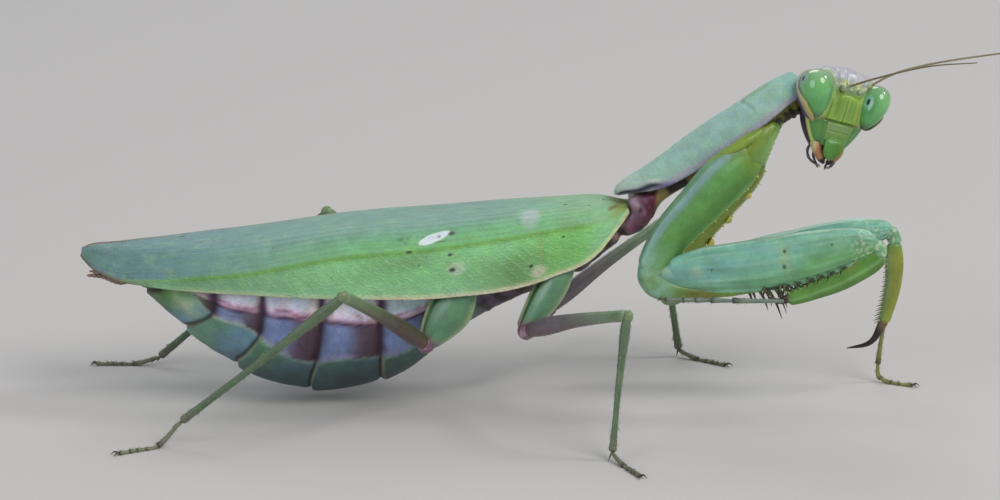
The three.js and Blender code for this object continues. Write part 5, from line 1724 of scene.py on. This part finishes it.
def make_femur_spines(side, line):
    """The outer, inner and middle rows under the femur."""
    below = unit(np.array([0.1, 0, -1.0]))
    outer = 0.62 * -side
    return (
        spine_row(line, below, FORE_FEMUR, OUTER_SPINES, 0.17, outer, 0.5)
        + spine_row(line, below, FORE_FEMUR, INNER_SPINES, 0.15, -outer, 0.25)
        + spine_row(line, below, FORE_FEMUR, MIDDLE_SPINES, 0.2, 0.1, -0.42)
    )


def make_fore_tibia(side, line, femur_line):
    """The tibia and the knee that carries it."""
    rows = np.array(FORE_TIBIA) * [1, either(side, 1.35, 1), 1]
    tibia = limb(side, line, rows, 160, 60, blunt=(0.45, 0.4),
                 tint=either(side, (92, 144, 64), (138, 150, 58)), shine=0.62, grain=0.35)
    tibia.push(0.05 * facing(tibia, 100, 10))
    stripe(tibia, (132, 186, 118), 104, 9, either(side, 0.7, 0.2))
    stripe(tibia, (150, 110, 60), 40, 26, bell(tibia.t - 0.3, 0.06), 0.6)
    stripe(tibia, (78, 124, 44), 150, 26, 0.5)
    if side == LEFT:
        stripe(tibia, (124, 160, 112), 330, 40, 0.8)
        tibia.paint((104, 148, 72), ramp(tibia.t, 0.16, 0.0) * 0.8)
    knee = limb(side, [femur_line.at(0.96), lerp(femur_line.at(1.0), line.at(0), 0.6), line.at(0.08)],
                [[0, 0.62, 0.5], [0.5, 0.66, 0.52], [1, 0.5, 0.42]], 60, 50, blunt=(0.4, 0.3),
                tint=(116, 170, 134), shine=0.5, grain=0.3)
    knee.push(0.05 * np.sin(knee.along * 9))
    # Pale flecks on the knee: painted highlights.
    knee.paint((196, 216, 190), ramp(noise(knee.points, 0.22, 5), 0.0, 0.5) * 0.6)
    return [tibia, knee]


def make_fore_claw(side, line, points):
    """The tibia's long hooked end."""
    hook = limb(side, Line([line.at(0.96), *points[1:]]),
                [[0, 0.5, 0.42], [0.4, 0.3, 0.26], [0.8, 0.15, 0.14], [1, 0.04, 0.04]],
                90, 30, blunt=(0.3, 0.04), tint=(110, 88, 64), shine=0.85, grain=0.15)
    return hook.paint((38, 26, 32), ramp(hook.t, 0.06, 0.3))


def make_tibia_spines(side, line):
    """Two rows of spines towards the femur, longer near the claw."""
    inward = either(side, unit(np.array([-0.4, 0, 0.9])), np.array([-1.0, 0, 0]))
    colours = either(side, ((150, 160, 104), (30, 20, 18)), ((140, 160, 118), (128, 124, 92)))
    lengths = {share: (0.35 + 0.5 * share**2) * either(side, 1, 0.6) for share in np.linspace(0.2, 0.95, 14)}
    return [spine for offset in (-0.3, 0.3)
            for spine in spine_row(line, inward, FORE_TIBIA, lengths, 0.11, offset, -0.6, colours)]


def make_foreleg(side):
    """Patches of the leg, its spines and its claws."""
    points = FORELEGS[side]
    coxa_line = Line(points["coxa"])
    start = coxa_line.at(0) - coxa_line.heading(0) * either(side, 0.5, -0.9) + [0, -0.35 * side, 0]
    hip = make_hip(side, coxa_line)
    coxa_line = Line([start, *points["coxa"][1:]])
    femur_line, tibia_line = Line(points["femur"]), Line(points["tibia"])
    foot_colours = either(side, ((112, 132, 124), (38, 42, 46)), ((128, 138, 74), (66, 62, 44)))
    foot, line = make_foot(points["foot"], foot_colours, floor=side == LEFT)
    patches = [*hip, *make_fore_coxa(side, coxa_line), *make_trochanter(side, coxa_line, femur_line),
               make_fore_femur(side, femur_line), *make_fore_tibia(side, tibia_line, femur_line), *foot]
    spines = make_tibia_spines(side, tibia_line) + make_femur_spines(side, femur_line)
    tip, ahead = line.at(1.0), line.heading(1.0)
    if side == LEFT:
        hooks = make_claws(tip, ahead)
    else:
        hooks = [thorn(tip, tip + ahead * 0.7 + [0, 0.25 * way, -0.1], 0.1, ((120, 100, 70), (34, 24, 20)),
                       (0, 0.1 * way, 0.15)) for way in (-1, 1)]
    return patches, spines, [make_fore_claw(side, tibia_line, points["claw"]), *hooks]


# ---------------------------------------------------------------- build the pieces


def make_materials():
    """The material of each slot."""
    return {
        "leg_shell": cuticle("leg_shell", (0.5, 0.28), streak=0.06, coat=0.15),
        "soft_skin": cuticle("body_skin", (0.6, 0.3), mottle=0.22, relief=0.06),
        "neck_shield": cuticle("neck_shield", (0.66, 0.4), mottle=0.14, relief=0.06),
        "face_shell": cuticle("face_shell", (0.5, 0.24), mottle=0.12, relief=0.03, coat=0.2),
        "wing_case": cuticle("wing_case", (0.6, 0.34), mottle=0.12, streak=0.05, relief=0.05, reticle=0.45),
        "eye": cuticle("eye_lens", (0.3, 0.08), mottle=0.06, relief=0.004, coat=0.8),
        "feeler": cuticle("feeler", (0.6, 0.4)),
    }


def make_pieces():
    """All pieces; a slot of the table has the same material on every piece."""
    materials = make_materials()
    pieces = []

    def add(name, slot, replaces, *patches):
        pieces.append(Piece(name, slot, materials[slot], replaces, *patches))

    trunk_nodes = ["neck", "prosternum", "mesothorax", "metathorax", *(f"abdomen_{i}" for i in range(1, 6))]
    add("body_skin", "soft_skin", trunk_nodes, make_skin())
    add("pronotum_shield", "neck_shield", ["pronotum"], make_pronotum())
    collars = [make_collar(side) for side in (RIGHT, LEFT)]
    add("head_capsule", "face_shell", ["head"], make_skull(), *make_mouth(), *collars)
    add("ocelli", "eye", [], *make_ocelli())
    add("palps", "feeler", ["palp_right", "palp_left"], *make_palps())
    for side, name in SIDE_NAMES.items():
        add(f"wing_case_{name}", "wing_case", [f"tegmen_{name}"], make_wing(side))
        add(f"compound_eye_{name}", "eye", [f"eye_{name}"], make_eye(side))
        add(f"feeler_{name}", "feeler", [f"antenna_{name}"], *make_antenna(side))
        add(f"tail_feeler_{name}", "feeler", [f"cercus_{name}"], make_cercus(side))
        for pair in ("mid", "hind", "fore"):
            solids = [f"{pair}_{name}_{part}" for part in ("coxa", "femur", "tibia", "tarsus")]
            leg = make_foreleg(side) if pair == "fore" else make_walking_leg(pair, side)
            patches, spines, hooks = leg
            add(f"leg_{pair}_{name}", "leg_shell", solids, *patches)
            if spines:
                add(f"spines_{pair}_{name}", "leg_shell", [], *spines)
            add(f"claws_{pair}_{name}", "leg_shell", [], *hooks)
    return pieces


# ---------------------------------------------------------------- floor, light and camera

CAMERA_DISTANCE = 430.0
CAMERA_LENS = 169.7
CAMERA_RISE = math.radians(15.0)  # above the horizontal, looking along +Y
CAMERA_TARGET = np.array([0, 0, 13.996])
LIGHT_TARGET = (0.01, 0, 0.015)


def add_floor():
    """A plain grey disk under the animal."""
    bpy.ops.mesh.primitive_circle_add(vertices=96, radius=3.0, fill_type="NGON")
    floor = bpy.context.object
    floor.name = "floor"
    material = bpy.data.materials.new("floor")
    material.use_nodes = True
    shader = material.node_tree.nodes["Principled BSDF"]
    shader.inputs["Base Color"].default_value = (0.6, 0.575, 0.56, 1)
    shader.inputs["Roughness"].default_value = 0.85
    floor.data.materials.append(material)


def aim(name, data, place, target):
    """Adds a lamp or camera at a place, turned to a target."""
    thing = bpy.data.objects.new(name, data)
    thing.location = place
    thing.rotation_euler = (Vector(target) - thing.location).to_track_quat("-Z", "Y").to_euler()
    bpy.context.scene.collection.objects.link(thing)
    return thing


def add_light(name, place, size, power, colour):
    data = bpy.data.lights.new(name, "AREA")
    data.shape, data.size, data.energy, data.color = "DISK", size, power, colour
    aim(name, data, place, LIGHT_TARGET)


def add_lights():
    """A warm key from the front right, a small glint for the eyes, cooler fill and back light."""
    add_light("key", (0.34, -0.36, 0.52), 0.44, 2.3, (1.0, 0.98, 0.95))
    add_light("glint", (0.44, 0.07, 0.46), 0.16, 0.75, (1.0, 1.0, 1.0))
    add_light("fill", (-0.5, -0.4, 0.3), 0.45, 1.05, (0.9, 0.96, 1.0))
    add_light("back", (-0.1, 0.55, 0.5), 0.4, 0.95, (0.95, 0.98, 1.0))
    world = bpy.data.worlds.new("studio")
    world.use_nodes = True
    sky = world.node_tree.nodes["Background"].inputs
    sky["Color"].default_value = (0.86, 0.9, 0.95, 1)
    sky["Strength"].default_value = 0.34
    bpy.context.scene.world = world
    bpy.context.scene.view_settings.view_transform = "Standard"


def add_camera():
    """A long lens from the animal's right side."""
    target = CAMERA_TARGET + ORIGIN
    place = target + CAMERA_DISTANCE * np.array([0, -math.cos(CAMERA_RISE), math.sin(CAMERA_RISE)])
    data = bpy.data.cameras.new("camera")
    data.lens, data.sensor_width = CAMERA_LENS, 36.0
    data.clip_start, data.clip_end = 0.01, 20.0
    bpy.context.scene.camera = aim("camera", data, place * MM, target * MM)


add_camera()
add_floor()
add_lights()
for piece in make_pieces():
    piece.build()

bpy.context.view_layer.update()
